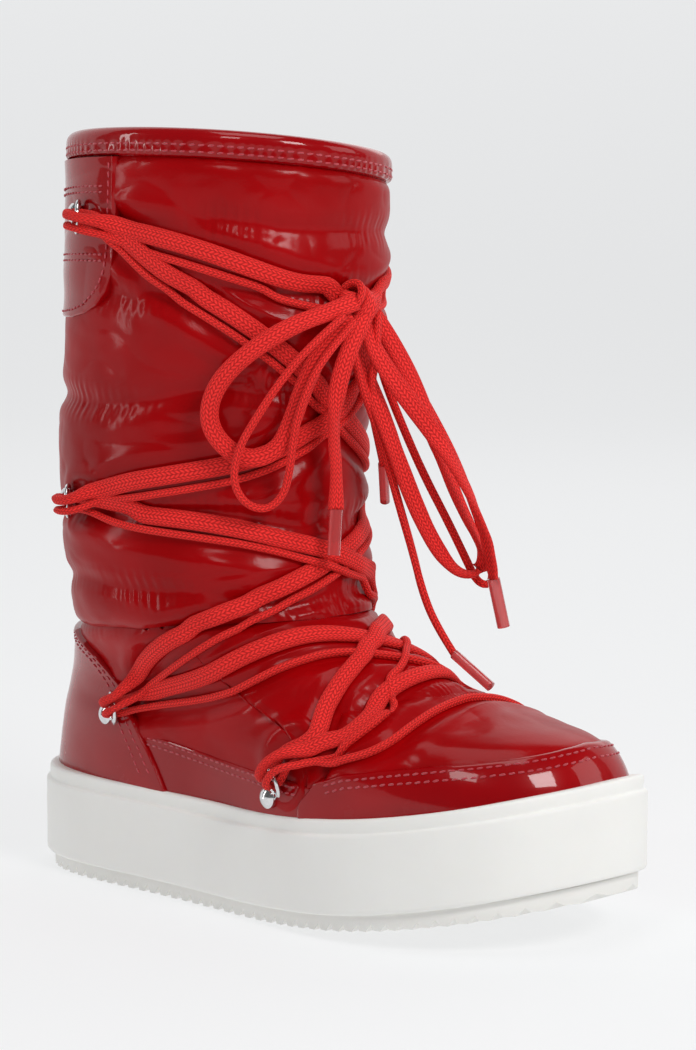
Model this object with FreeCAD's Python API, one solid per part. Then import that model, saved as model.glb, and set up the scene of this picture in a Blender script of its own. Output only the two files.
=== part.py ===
"""Padded lace-up winter boot on a platform sole, right foot.

Millimetres. +X points to the toe, +Y to the inner side of the leg, +Z up.
The origin is on the ground, on the flat pad of the outsole.
"""
import math
import os
import FreeCAD
import Part

V = FreeCAD.Vector

# ---------------------------------------------------------------- driving dimensions
SHELL = 2.4             # outer quilted fabric
WADDING = 5.6           # depth at which the wadding ends
LINING_FACE = 5.8       # depth at which the lining starts
LINING = 7.1            # depth at which the lining ends
OVERLAY = 1.6           # patent covers sewn on top of the fabric
GAP = 0.06              # air between neighbouring soft pieces

SHAFT_TOP = 297.0       # top edge level of the collar
COLLAR_SEAM = 284.0     # lower edge level of the collar
STRIP_FOOT = 224.0      # lower edge level of the back strip
BASE = 31.0             # level where the upper starts, inside the sole

SOLE_TOP = 42.0         # top edge of the sole at the heel
SOLE_BOTTOM = 6.0       # lower edge of the side wall
WALL = 4.2              # thickness of the side wall
LIP_STEP = 1.5          # how far the top lip stands back
LIP_HEIGHT = 5.0
TREAD_INSET = 3.2
TREAD_PITCH = 6.4
TREAD_DEPTH = 3.0
TOE_SPRING = 21.0       # rise of the sole at the toe tip
SPRING_START = -5.4
SPRING_RUN = 145.4
SPRING_POWER = 1.8
TOE_END = 156.0
LAST_FLOOR = 33.0       # top of the midsole core at the heel
LAST_SPRING = 18.0      # its rise at the toe tip
BOARD = 2.0
FOOTBED = 5.0
STIFFENER = 1.2
SHANK = (96.0, 18.0, 1.6)

WIDE = 4.0              # wide lace, diameter of the round that stands in for it
THIN = 2.8              # thin lace
AGLET = 5.0             # outer diameter of a wide lace's end tube
AGLET_THIN = 4.0

WIRE = 0.9              # D-ring wire radius
BOW = 6.0               # D-ring bow radius, to the wire's middle
BEND = 1.6              # radius of the D-ring's corners
ARM = 2.5               # where the bow starts, from the hinge axis
TUBE_IN = 0.95          # clip tube, inner radius
TUBE_OUT = 1.5
TUBE_HALF = 4.3
RING_TILT = 30.0        # how far the hanging D-ring stands off the boot
AXIS_LIFT = 2.4         # hinge axis above the cover it is on
PLATE = 1.0
PLATE_REACH = 6.8       # hinge axis to rivet
RIVET_HEAD = 4.2
RIVET_SHANK = 1.5
TURN_BEND = 4.4         # half the height of a lace's turn round a D-ring

# ---------------------------------------------------------------- outline of the boot, level -> value
HEEL = [(30, -134), (54, -131), (74, -126.5), (90, -121.5), (104, -118), (114, -117.4), (140, -121),
        (178, -122.6), (225, -117.6), (275, -115.6), (310, -115.6)]
FRONT = [(30, 134), (54, 132), (62, 129.5), (69, 126), (73.5, 121), (76.5, 112), (80, 97), (85, 77),
         (89, 64), (94.5, 50), (100, 35.5), (106, 23.5), (114, 14.5), (124, 10.5), (158, 7), (178, 6.2),
         (200, 10), (225, 15.8), (275, 18.6), (310, 19.6)]
HALF_WIDTH = [(30, 49.5), (66, 49), (76, 46.5), (84, 45), (95, 46.5), (105, 49.5), (118, 52.5),
              (140, 53.4), (200, 53.8), (225, 55), (310, 55.8)]
SQUARE_FRONT = [(30, 2.6), (60, 2.5), (70, 2.25), (77, 2), (86, 1.72), (98, 1.75), (110, 1.95),
                (125, 2.06), (310, 2.05)]
SQUARE_BACK = [(30, 2.6), (60, 2.5), (100, 2.15), (125, 2.06), (310, 2.05)]
FOOT_SHARE = [(30, 1), (56, 1), (66, 0.9), (77, 0.72), (90, 0.42), (107, 0.12), (122, 0), (310, 0)]
TOE_SHIFT = [(30, 12), (70, 12), (77, 9.5), (86, 6.5), (96, 4.5), (110, 1.5), (122, 0), (310, 0)]

SOLE_OUTLINE = [(-140, 2), (-134, -19), (-118, -32.5), (-95, -39), (-65, -41), (-25, -44), (20, -50),
                (55, -54), (90, -49), (115, -36), (132, -14), (140, 12), (134, 35), (115, 50),
                (85, 56), (50, 56), (10, 45), (-30, 38), (-75, 39), (-105, 37), (-128, 25)]

# seams and cover edges seen from the side, x and z
ANKLE_SEAM = [(-160, 97.9), (160, 127.3)]
VAMP_SEAM = [(38.8, 30), (65.9, 95), (65.9, 130)]
COUNTER = [(-150, 30), (-38, 30), (-46.6, 43), (-56, 59), (-64, 71), (-68, 83), (-82, 92.5), (-103, 100),
           (-150, 101)]
RAND = [(-37.8, 30), (-46.4, 43), (-55.8, 59), (-57.5, 62), (-51, 63.8), (-14.5, 59.6), (20, 56.8),
        (41, 57), (36.8, 50), (31.8, 42), (27.8, 30)]
TOE_CAP = [(28, 30), (32, 42), (37, 50), (43, 58), (55, 62.4), (91, 68), (109, 70.1), (121, 73),
           (150, 74.5), (150, 30)]
BACK_STRIP = [(-150, 224.5), (-84, 225.2), (-70, 228.5), (-60.5, 235), (-57, 243), (-53.5, 271),
              (-52.5, 310), (-150, 310)]


def steady(line, at):
    """Value of a level line, with a curve that never overshoots its points."""
    xs = [p[0] for p in line]
    ys = [p[1] for p in line]
    last = len(xs) - 1
    i = 0
    while i < last - 1 and xs[i + 1] < at:
        i += 1
    step = [xs[k + 1] - xs[k] for k in range(last)]
    rise = [(ys[k + 1] - ys[k]) / step[k] for k in range(last)]

    def slope(k):
        if k == 0:
            return rise[0]
        if k == last:
            return rise[-1]
        if rise[k - 1] * rise[k] <= 0:
            return 0.0
        a = 2 * step[k] + step[k - 1]
        b = step[k] + 2 * step[k - 1]
        return (a + b) / (a / rise[k - 1] + b / rise[k])

    t = (at - xs[i]) / step[i]
    a = slope(i) * step[i]
    b = slope(i + 1) * step[i]
    keep = 2 * t ** 3 - 3 * t ** 2 + 1
    return keep * ys[i] + (t ** 3 - 2 * t ** 2 + t) * a + (1 - keep) * ys[i + 1] + (t ** 3 - t ** 2) * b


def ease(t):
    t = min(1.0, max(0.0, t))
    return t * t * (3 - 2 * t)


def foot_side(x, side):
    """Half width of the foot at x, as a share of the widest level's half width."""
    if side < 0:
        return (38 + 11.5 * ease((x + 35) / 85)) / 49.5
    return (37 + 16.5 * ease((x + 10) / 85) - 5 * math.exp(-((x + 30) / 30) ** 2)) / 49.5


def skin(level, angle, depth=0.0):
    """Point of the boot's surface: level up the leg, angle from the toe, depth under the surface."""
    c = math.cos(angle)
    s = math.sin(angle)
    back = steady(HEEL, level) + depth
    front = steady(FRONT, level) - depth
    if depth > 0:
        front = min(front, steady(FRONT, level + depth))
    else:
        front = max(front, steady(FRONT, level + depth))
    width = steady(HALF_WIDTH, level) - depth
    square = steady(SQUARE_BACK, level)
    square += (steady(SQUARE_FRONT, level) - square) * ease(0.5 + c)
    power = 2.0 / square
    x = (front + back) / 2 + (front - back) / 2 * math.copysign(abs(c) ** power, c)
    side = -1 if s < 0 else 1
    share = 1 + steady(FOOT_SHARE, level) * (foot_side(x, side) - 1)
    y = width * share * math.copysign(abs(s) ** power, s) + steady(TOE_SHIFT, level) * max(0.0, c) ** 3
    lean = 0.12 * ease((level - 190) / 100)
    return V(x, y, level - lean * y)


def on_boot(level, degrees, lift=0.0):
    """Point that stands lift above the surface; positive degrees are on the inner side."""
    a = math.radians(degrees)
    p = skin(level, a)
    return p + outward(level, degrees) * lift


def outward(level, degrees):
    a = math.radians(degrees)
    along = skin(level, a + 0.02) - skin(level, a - 0.02)
    up = skin(level + 0.8, a) - skin(level - 0.8, a)
    n = along.cross(up)
    n.normalize()
    return n


# ---------------------------------------------------------------- solids of the upper
LEVELS = [31, 42, 54, 62, 69, 73.5, 76.5, 80, 85, 89, 94.5, 100, 106, 114, 124, 140, 158, 178, 200,
          225, 250, 275, 297]


ROUND = 36              # points in one section
SEAM = 0.464            # share of a turn from the toe to where the section starts


def section(level, depth):
    points = [skin(level, 2 * math.pi * (k / ROUND + SEAM), depth) for k in range(ROUND)]
    curve = Part.BSplineCurve()
    curve.interpolate(Points=points, PeriodicFlag=True, Parameters=[k / ROUND for k in range(ROUND + 1)])
    return Part.Wire([curve.toShape()])


def body(depth, low=BASE, high=SHAFT_TOP):
    """Solid inside the surface at a depth, between two levels."""
    inner = [v for v in LEVELS if low + 1.5 < v < high - 1.5]
    return Part.makeLoft([section(v, depth) for v in [low] + inner + [high]], True)


def side_cut(points):
    """Solid from a closed outline in the X-Z plane, running right through the boot."""
    wire = Part.makePolygon([V(x, -90, z) for x, z in points] + [V(points[0][0], -90, points[0][1])])
    return Part.Face(wire).extrude(V(0, 180, 0))


def spring(x):
    if x <= SPRING_START:
        return 0.0
    return ((x - SPRING_START) / SPRING_RUN) ** SPRING_POWER


def slab(low, high, rise=TOE_SPRING):
    """Solid between two heights that both rise with the toe."""
    stations = [SPRING_START + (TOE_END - SPRING_START) * k / 8 for k in range(9)]

    def floor(base):
        curve = Part.BSplineCurve()
        curve.interpolate([V(x, -90, base + rise * spring(x)) for x in stations])
        return curve.toShape()

    def straight(x1, z1, x2, z2):
        return Part.LineSegment(V(x1, -90, z1), V(x2, -90, z2)).toShape()

    end = rise * spring(TOE_END)
    edges = [straight(-150, low, SPRING_START, low), floor(low),
             straight(TOE_END, low + end, TOE_END, high + end), floor(high),
             straight(SPRING_START, high, -150, high), straight(-150, high, -150, low)]
    wire = Part.Wire(Part.__sortEdges__(edges))
    return Part.Face(wire).extrude(V(0, 180, 0))


# ---------------------------------------------------------------- sole
def sole_wire(inset, height):
    points = []
    count = len(SOLE_OUTLINE)
    for i, (x, y) in enumerate(SOLE_OUTLINE):
        before = SOLE_OUTLINE[i - 1]
        after = SOLE_OUTLINE[(i + 1) % count]
        dx = after[0] - before[0]
        dy = after[1] - before[1]
        size = math.hypot(dx, dy)
        points.append(V(x - inset * dy / size, y + inset * dx / size, height))
    curve = Part.BSplineCurve()
    curve.interpolate(Points=points, PeriodicFlag=True)
    return Part.Wire([curve.toShape()])


def sole_prism(inset, low=-2.0, high=80.0):
    return Part.Face(sole_wire(inset, low)).extrude(V(0, 0, high - low))


def tread_teeth():
    """Saw-tooth underside, rising with the toe."""
    points = []
    x = -145.0
    while x < 146:
        points.append((x, TOE_SPRING * spring(x)))
        points.append((x + 0.45 * TREAD_PITCH, TOE_SPRING * spring(x)))
        points.append((x + 0.8 * TREAD_PITCH, TREAD_DEPTH + TOE_SPRING * spring(x)))
        x += TREAD_PITCH
    points.append((150, SOLE_BOTTOM + TOE_SPRING * spring(150)))
    for x in range(150, -6, -12):
        points.append((x, SOLE_BOTTOM + TOE_SPRING * spring(x)))
    points.append((-150, SOLE_BOTTOM))
    points.append((-150, 0))
    return side_cut(points)


# ---------------------------------------------------------------- cords
def corner_radius(before, at, after):
    a = at - before
    b = after - at
    turn = a.getAngle(b)
    return 0.45 * min(a.Length, b.Length) / math.tan(turn / 2), turn


def cord(points, radius, name):
    """Round cord of straight runs joined by tangent arcs."""
    edges = []
    start = points[0]
    tightest = 1e9
    for i in range(1, len(points) - 1):
        arc, turn = corner_radius(points[i - 1], points[i], points[i + 1])
        cut = arc * math.tan(turn / 2)
        to_before = (points[i - 1] - points[i]).normalize()
        to_after = (points[i + 1] - points[i]).normalize()
        enter = points[i] + to_before * cut
        leave = points[i] + to_after * cut
        middle_way = (to_before + to_after).normalize()
        centre = points[i] + middle_way * (arc / math.cos(turn / 2))
        middle = centre - middle_way * arc
        edges.append(Part.LineSegment(start, enter).toShape())
        edges.append(Part.Arc(enter, middle, leave).toShape())
        start = leave
        tightest = min(tightest, arc)
    edges.append(Part.LineSegment(start, points[-1]).toShape())
    spine = Part.Wire(edges)
    heading = points[1] - points[0]
    profile = Part.Wire([Part.makeCircle(radius, points[0], heading)])
    tube = spine.makePipeShell([profile], True, False)
    expected = math.pi * radius ** 2 * spine.Length
    print("%s: length %.0f, tightest bend %.1f, volume %.3f of expected, valid %s"
          % (name, spine.Length, tightest, tube.Volume / expected, tube.isValid()))
    return tube


# ---------------------------------------------------------------- lace hooks
# level, degrees from the toe, turn of the pull above level, cover under the plate and ahead of it
RINGS = {
    "top": (262, 112, -8, OVERLAY, OVERLAY),
    "shaft": (155, 116, 0, 0.0, 0.0),
    "heel": (70.5, 122, 22, OVERLAY, 0.0),
    "ball": (54.5, 84, 52, OVERLAY, 0.0),
}


class Hook:
    """Local frame of one lace hook: forward along the pull, across along the hinge, out of the boot."""

    def __init__(self, name, side):
        level, degrees, turn, cover, ahead = RINGS[name]
        self.level = level
        self.degrees = side * degrees
        self.turn = turn
        self.side = side
        self.cover = cover
        self.ahead = ahead
        self.out = outward(level, self.degrees)
        front = on_boot(level, self.degrees - side * 3) - on_boot(level, self.degrees)
        front = (front - self.out * front.dot(self.out)).normalize()
        up = (self.out.cross(front) * (-side)).normalize()
        if up.z < 0:
            up = up * -1
        t = math.radians(turn)
        self.forward = front * math.cos(t) + up * math.sin(t)
        self.across = up * math.cos(t) - front * math.sin(t)
        self.seat = on_boot(level, self.degrees, cover + 0.05)
        self.axis = self.seat + self.out * AXIS_LIFT

    def at(self, forward, across, out):
        """Point given from the hinge axis."""
        return self.axis + self.forward * forward + self.across * across + self.out * out

    def bow(self, across):
        """Forward and outward place of the D-ring's wire where a lace turns round it."""
        reach = ARM + math.sqrt(BOW ** 2 - across ** 2)
        t = math.radians(RING_TILT)
        return reach * math.cos(t), reach * math.sin(t)

    def surface(self, forward, across, lift):
        """Point over the boot's surface, given along the pull."""
        t = math.radians(self.turn)
        ahead = forward * math.cos(t) - across * math.sin(t)
        rise = forward * math.sin(t) + across * math.cos(t)
        girth = (on_boot(self.level, self.degrees + 1) - on_boot(self.level, self.degrees - 1)).Length / 2
        return on_boot(self.level + rise, self.degrees - self.side * ahead / girth, lift)


def hook_frame(hook):
    m = FreeCAD.Matrix()
    m.A11, m.A21, m.A31 = hook.forward.x, hook.forward.y, hook.forward.z
    m.A12, m.A22, m.A32 = hook.across.x, hook.across.y, hook.across.z
    third = hook.forward.cross(hook.across)
    m.A13, m.A23, m.A33 = third.x, third.y, third.z
    m.A14, m.A24, m.A34 = hook.axis.x, hook.axis.y, hook.axis.z
    return m, (1 if third.dot(hook.out) > 0 else -1)


def placed(shape, hook):
    m, _ = hook_frame(hook)
    copy = shape.copy()
    copy.Placement = FreeCAD.Placement(m).multiply(shape.Placement)
    return copy


def clip_shape(flip):
    """Plate with a rolled tube, drawn with the hinge axis on Y and the pull on X."""
    low = -AXIS_LIFT * flip
    tube = Part.makeCylinder(TUBE_OUT, 2 * TUBE_HALF, V(0, -TUBE_HALF, 0), V(0, 1, 0))
    base = min(low, low + PLATE * flip)
    plate = Part.makeBox(PLATE_REACH, 2 * TUBE_HALF - 1.4, PLATE, V(-PLATE_REACH, -TUBE_HALF + 0.7, base))
    disc = Part.makeCylinder(RIVET_HEAD - 0.4, PLATE, V(-PLATE_REACH, 0, base))
    web_low = min(low, 0)
    web = Part.makeBox(PLATE + 0.3, 2 * TUBE_HALF - 1.4, AXIS_LIFT, V(-TUBE_OUT + 0.2, -TUBE_HALF + 0.7, web_low))
    bore = Part.makeCylinder(TUBE_IN, 2 * TUBE_HALF + 2, V(0, -TUBE_HALF - 1, 0), V(0, 1, 0))
    solid = tube.fuse([plate, disc, web]).cut(bore).removeSplitter()
    hole = Part.makeCylinder(RIVET_SHANK, 6, V(-PLATE_REACH, 0, -AXIS_LIFT * flip - 3))
    return solid.cut(hole)


def rivet_shape(flip):
    """Domed rivet with its shank down through the plate."""
    face = (-AXIS_LIFT + PLATE) * flip
    ball_radius = 5.4
    sag = math.sqrt(ball_radius ** 2 - RIVET_HEAD ** 2)
    ball = Part.makeSphere(ball_radius, V(-PLATE_REACH, 0, face - (sag - 0.5) * flip))
    keep_low = face if flip > 0 else face - 8
    keep = Part.makeCylinder(RIVET_HEAD, 8, V(-PLATE_REACH, 0, keep_low))
    head = ball.common(keep)
    shank_low = face - 4.4 if flip > 0 else face
    shank = Part.makeCylinder(RIVET_SHANK, 4.4, V(-PLATE_REACH, 0, shank_low))
    return head.fuse(shank).removeSplitter()


def ring_shape(flip):
    """D-ring: straight pin in the tube, two bent corners, round bow."""
    side = BOW - BEND
    a = math.sqrt(0.5)
    path = [
        Part.Arc(V(0, side, 0), V(BEND - BEND * a, side + BEND * a, 0), V(BEND, BOW, 0)).toShape(),
        Part.LineSegment(V(BEND, BOW, 0), V(ARM, BOW, 0)).toShape(),
        Part.Arc(V(ARM, BOW, 0), V(ARM + BOW, 0, 0), V(ARM, -BOW, 0)).toShape(),
        Part.LineSegment(V(ARM, -BOW, 0), V(BEND, -BOW, 0)).toShape(),
        Part.Arc(V(BEND, -BOW, 0), V(BEND - BEND * a, -side - BEND * a, 0), V(0, -side, 0)).toShape(),
    ]
    profile = Part.Wire([Part.makeCircle(WIRE, V(0, side, 0), V(0, 1, 0))])
    bow = Part.Wire(path).makePipeShell([profile], True, False)
    pin = Part.makeCylinder(WIRE, 2 * side, V(0, -side, 0), V(0, 1, 0))
    ring = bow.fuse(pin).removeSplitter()
    ring.rotate(V(0, 0, 0), V(0, 1, 0), -RING_TILT * flip)
    return ring


# ---------------------------------------------------------------- lace route
UNDER = 1.0             # air under a lace that lies on the boot
OVER = 5.4              # extra lift of a strand that crosses over another

# level and degrees of each strand, from one side of the boot to the other
VAMP = [(77, 58), (88, 34), (93.5, 0), (88, -34), (77, -58)]
INSTEP = [(72, 72), (86, 49), (97, 26), (104, 1), (108, -24), (102, -52), (90, -84)]
ANKLE = [(92, 104), (104, 82), (114, 58), (124, 31), (136, 1), (147, -30), (152, -60), (154, -86)]
CALF = [(164, 88), (169, 64), (174, 38), (184, 15), (198, -6), (214, -25), (230, -49), (243, -74)]
CROSSING = {"INSTEP": (1, 5), "ANKLE": (3, 6), "CALF": (3, 6)}


def strand(line, side, drop, lift, over):
    points = []
    for i, (level, degrees) in enumerate(line):
        raised = OVER if over and over[0] <= i < over[1] else 0.0
        points.append(on_boot(level - drop, side * degrees, lift + raised))
    return points


def turn_round(hook, radius, across, outer_first):
    """Points of a lace that comes in over the D-ring's bow and goes back under it, or the reverse."""
    bend = TURN_BEND
    forward, out = hook.bow(across)
    middle = forward + 0.5
    outer = [hook.at(middle + 8.5, across, out + bend - 1.2), hook.at(middle - bend, across, out + bend)]
    under = hook.surface(middle + 8.5, across, hook.ahead + radius + 0.7)
    inner = [hook.at(middle - bend, across, out - bend), under]
    points = outer + inner
    return points if outer_first else list(reversed(points))


def lace_half(first_side, radius, across, drop, over):
    """From the middle of the vamp to the knot."""
    lift = radius + UNDER
    s = first_side
    points = strand(VAMP[:3], s, drop, lift, None)[::-1]
    points += turn_round(Hook("ball", s), radius, across, True)
    points += strand(INSTEP, s, drop, lift, CROSSING["INSTEP"] if over else None)
    points += turn_round(Hook("heel", -s), radius, across, False)
    points += strand(ANKLE, -s, drop, lift, CROSSING["ANKLE"] if over else None)
    points += turn_round(Hook("shaft", s), radius, across, False)
    points += strand(CALF, s, drop, lift, CROSSING["CALF"] if over else None)
    points += turn_round(Hook("top", -s), radius, across, False)
    return points


KNOT_PLACE = (236, 2, 9.5)
KNOT_SIZE = (7.0, 12.0, 8.0)    # out from the boot, across, up


def knot_shape():
    ball = Part.makeSphere(1.0)
    m = FreeCAD.Matrix()
    m.scale(*KNOT_SIZE)
    place = on_boot(*KNOT_PLACE)
    solid = ball.transformGeometry(m)
    solid.translate(place)
    return solid


def lace_end(side, radius, drop):
    """The last strand, from the top hook into the knot."""
    lift = radius + UNDER
    line = [(257, 84), (252, 62), (246, 43), (240, 25)]
    points = strand(line, side, drop, lift, None)
    points.append(on_boot(237 - drop * 0.6, side * 10 + 2, 8.5))
    points.append(on_boot(236.5 - drop * 0.6, side * 4 + 2, 9.5))
    return points


def whole_lace(radius, across, drop):
    """Both halves of a lace, joined in the middle of the vamp."""
    outer = lace_half(-1, radius, across, drop, True) + lace_end(1, radius, drop)
    inner = lace_half(1, radius, across, drop, False) + lace_end(-1, radius, drop)
    return list(reversed(inner)) + outer[1:]


def over_boot(points):
    return [on_boot(*p) for p in points]


# level, degrees from the toe, lift above the boot; then loose points in space
LOOP_WIDE_OUT = over_boot([(236, -7, 11), (232, -16, 11), (227, -29, 11), (217, -43, 10.5), (205, -51, 10),
                           (192, -52, 10), (181, -46, 10), (175, -37, 10.5), (180, -28, 11.5),
                           (192, -25, 12), (206, -23, 12), (220, -19, 12), (230, -8, 10.5)])
LOOP_THIN_OUT = over_boot([(231, -13, 14.5), (222, -23, 15), (210, -31, 15), (197, -36, 15.5),
                           (182, -41, 15.5), (167, -43, 14), (158, -39, 12), (156, -32, 11),
                           (162, -26.5, 12), (174, -25, 15), (188, -25, 16), (203, -24, 16.5),
                           (218, -20, 16.5), (229, -9, 14)])
TAIL_WIDE_OUT = over_boot([(231, -3, 11), (223, -9, 14), (212, -12, 14.5), (199, -12, 14.5),
                           (185, -10, 13.5), (170, -8, 13), (155, -9, 13)])
TAIL_THIN_OUT = over_boot([(231, 3, 11), (222, 1, 14), (209, 1, 14.5), (195, 5, 14), (182, 13, 12.5),
                           (170, 22, 10.5)])
LOOP_WIDE_IN = [V(22, 2, 233), V(21, 0.5, 222), V(22, 0.5, 210), V(28, 7, 189), V(31.5, 14, 168),
                V(35, 21, 150), V(39, 27, 137), V(44, 33, 128.5), V(50, 39, 129), V(49.5, 40, 139),
                V(43, 34, 156), V(37, 28, 178), V(32, 21.8, 200), V(27, 14, 217), V(22, 7.5, 230)]
LOOP_THIN_IN = [V(20, 7.5, 229), V(21.5, 9, 219), V(22.5, 12, 206), V(26, 18, 189), V(31, 26, 168),
                V(37, 34, 149), V(42, 38.5, 135), V(46, 41.5, 124.5), V(50.5, 45, 124), V(50, 45.5, 133),
                V(45, 42.5, 150), V(38.5, 38, 172), V(30, 30, 194), V(23, 21, 213), V(18, 13, 229)]
TAIL_WIDE_IN = [V(24, -3, 232), V(27, -1, 221), V(31, 3.5, 210), V(37, 9, 198.5), V(44, 18, 184),
                V(49, 24, 172), V(54, 30, 157), V(57, 35, 141), V(58, 36.6, 128)]
TAIL_THIN_IN = [V(23, -6, 230), V(24, -7, 219), V(24, -3.5, 206), V(24, 4, 192), V(26, 10.5, 174),
                V(28.5, 15, 156), V(31.5, 19.5, 138), V(34.5, 22, 122), V(40, 23.5, 109.5), V(49, 24, 99)]


def aglet(points, end, outer):
    """Plastic tube over a lace's last part."""
    start = points[-1]
    heading = (end - start).normalize()
    length = (end - start).Length
    return Part.makeCylinder(outer / 2, length, start + heading * 0.05, heading)


AGLET_ENDS = {
    "aglet_wide_out": (TAIL_WIDE_OUT, on_boot(137, -11, 13), AGLET),
    "aglet_thin_out": (TAIL_THIN_OUT, on_boot(154, 33, 8.5), AGLET_THIN),
    "aglet_wide_in": (TAIL_WIDE_IN, V(60, 40.5, 109), AGLET),
    "aglet_thin_in": (TAIL_THIN_IN, V(66, 25.5, 88), AGLET_THIN),
}


def sole_parts():
    wall_low = slab(SOLE_BOTTOM, SOLE_TOP - LIP_HEIGHT)
    wall_lip = slab(SOLE_TOP - LIP_HEIGHT, SOLE_TOP)
    upper_block = body(-OVERLAY - GAP).common(slab(LAST_FLOOR, 400, LAST_SPRING))
    wall = sole_prism(0.0).common(wall_low).fuse(sole_prism(LIP_STEP).common(wall_lip))
    out = {"sidewall_cup": wall.cut(sole_prism(WALL)).cut(upper_block)}
    core = sole_prism(WALL + GAP).common(slab(SOLE_BOTTOM, 400))
    core = core.common(slab(-60, LAST_FLOOR - GAP, LAST_SPRING))
    out["shank"] = Part.makeBox(SHANK[0], SHANK[1], SHANK[2], V(-88, -SHANK[1] / 2, 22))
    slot = Part.makeBox(SHANK[0] + 0.2, SHANK[1] + 0.2, SHANK[2] + 0.2, V(-88.1, -SHANK[1] / 2 - 0.1, 21.9))
    out["midsole_core"] = core.cut(slot)
    teeth = sole_prism(TREAD_INSET).common(tread_teeth())
    pad = Part.makeBox(50, 34, 4.5, V(-45, -18, 0))
    heel_pad = Part.makeBox(34, 30, 4.5, V(-118, -15, 0))
    out["outsole"] = teeth.fuse([pad, heel_pad]).common(slab(-60, SOLE_BOTTOM - GAP))
    return out


def upper_parts():
    above_floor = slab(LAST_FLOOR, 400, LAST_SPRING)
    above_board = slab(LAST_FLOOR + BOARD + GAP, 400, LAST_SPRING)
    past_top = SHAFT_TOP + 3
    fabric = body(0.0).cut(body(SHELL, BASE - 1, past_top)).common(above_floor)
    under_collar = body(-OVERLAY - 2, BASE - 1, COLLAR_SEAM - GAP)
    collar = body(-OVERLAY - 2, COLLAR_SEAM, past_top)
    below_ankle = side_cut(ANKLE_SEAM + [(160, 20), (-160, 20)])
    above_ankle = side_cut([(x, z + GAP) for x, z in ANKLE_SEAM] + [(160, 400), (-160, 400)])
    ahead = side_cut([(x + GAP, z) for x, z in VAMP_SEAM] + [(160, 130), (160, 30)])
    behind = side_cut(VAMP_SEAM + [(-160, 130), (-160, 30)])
    foot_fabric = fabric.common(below_ankle)
    out = {
        "collar_band": fabric.common(collar),
        "shaft_panel": fabric.common(under_collar).common(above_ankle),
        "vamp_panel": foot_fabric.common(ahead),
        "quarter_panel": foot_fabric.common(behind),
    }

    inner_face = body(SHELL + STIFFENER + GAP, BASE - 1)
    stiff = body(SHELL + GAP).cut(body(SHELL + STIFFENER, BASE - 1)).common(above_board)
    room = body(SHELL - 0.5).cut(inner_face)
    heel_zone = side_cut([(-150, 30), (-60, 30), (-66, 60), (-88, 86), (-150, 88)])
    toe_zone = side_cut([(88, 30), (96, 66), (110, 75), (150, 76), (150, 30)])
    heel_room = side_cut([(-150, 29), (-59.9, 29), (-65.9, 60), (-87.9, 86.1), (-150, 88.1)])
    toe_room = side_cut([(87.9, 29), (95.9, 66.1), (109.9, 75.1), (151, 76.1), (151, 29)])
    out["heel_stiffener"] = stiff.common(heel_zone)
    out["toe_puff"] = stiff.common(toe_zone)

    inside_wadding = body(WADDING, BASE - 1, past_top)
    soft = body(SHELL + GAP).common(above_board).cut(inside_wadding)
    soft = soft.cut(room.common(heel_room)).cut(room.common(toe_room))
    soft = soft.common(body(0.5, BASE - 1, SHAFT_TOP - 2))
    out["wadding_foot"] = soft.common(below_ankle)
    out["wadding_shaft"] = soft.common(above_ankle)
    lining = body(LINING_FACE).common(above_board)
    inside_lining = body(LINING, BASE - 1, past_top)
    out["lining_foot"] = lining.common(below_ankle).cut(inside_lining)
    out["lining_shaft"] = lining.common(above_ankle).cut(inside_lining)
    board_zone = slab(LAST_FLOOR, LAST_FLOOR + BOARD, LAST_SPRING)
    bed_zone = slab(LAST_FLOOR + BOARD + GAP, LAST_FLOOR + BOARD + FOOTBED, LAST_SPRING)
    out["insole_board"] = board_zone.common(body(SHELL + GAP))
    out["footbed"] = bed_zone.common(body(LINING + GAP))
    return out


def cover_parts():
    """Patent covers on top of the fabric."""
    cover = body(-OVERLAY).cut(body(-GAP, BASE - 1, SHAFT_TOP + 3)).common(slab(LAST_FLOOR, 400, LAST_SPRING))
    low = cover.common(body(-OVERLAY - 2, BASE - 1, 106))
    near = Part.makeBox(400, 100, 400, V(-200, -100, -20))
    far = Part.makeBox(400, 100, 400, V(-200, 0, -20))
    rand_zone = side_cut(RAND)
    strip_level = body(-OVERLAY - 2, STRIP_FOOT - 2, COLLAR_SEAM - GAP)
    return {
        "heel_counter": low.common(side_cut(COUNTER)),
        "toe_cap": low.common(side_cut(TOE_CAP)),
        "rand_outer": low.common(rand_zone).common(near),
        "rand_inner": low.common(rand_zone).common(far),
        "back_strip": cover.common(strip_level).common(side_cut(BACK_STRIP)),
    }


def lace_parts():
    out = {}
    out["lace_wide"] = cord(whole_lace(WIDE / 2, 1.6, 0.0), WIDE / 2, "lace_wide")
    out["lace_thin"] = cord(whole_lace(THIN / 2, -2.9, 6.5), THIN / 2, "lace_thin")
    out["lace_knot"] = knot_shape()
    loose = {
        "loop_wide_out": (LOOP_WIDE_OUT, WIDE), "loop_thin_out": (LOOP_THIN_OUT, THIN),
        "loop_wide_in": (LOOP_WIDE_IN, WIDE), "loop_thin_in": (LOOP_THIN_IN, THIN),
        "tail_wide_out": (TAIL_WIDE_OUT, WIDE), "tail_thin_out": (TAIL_THIN_OUT, THIN),
        "tail_wide_in": (TAIL_WIDE_IN, WIDE), "tail_thin_in": (TAIL_THIN_IN, THIN),
    }
    for name, (points, size) in loose.items():
        out[name] = cord(points, size / 2, name)
    for name, (points, end, size) in AGLET_ENDS.items():
        out[name] = aglet(points, end, size)
    return out


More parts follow.
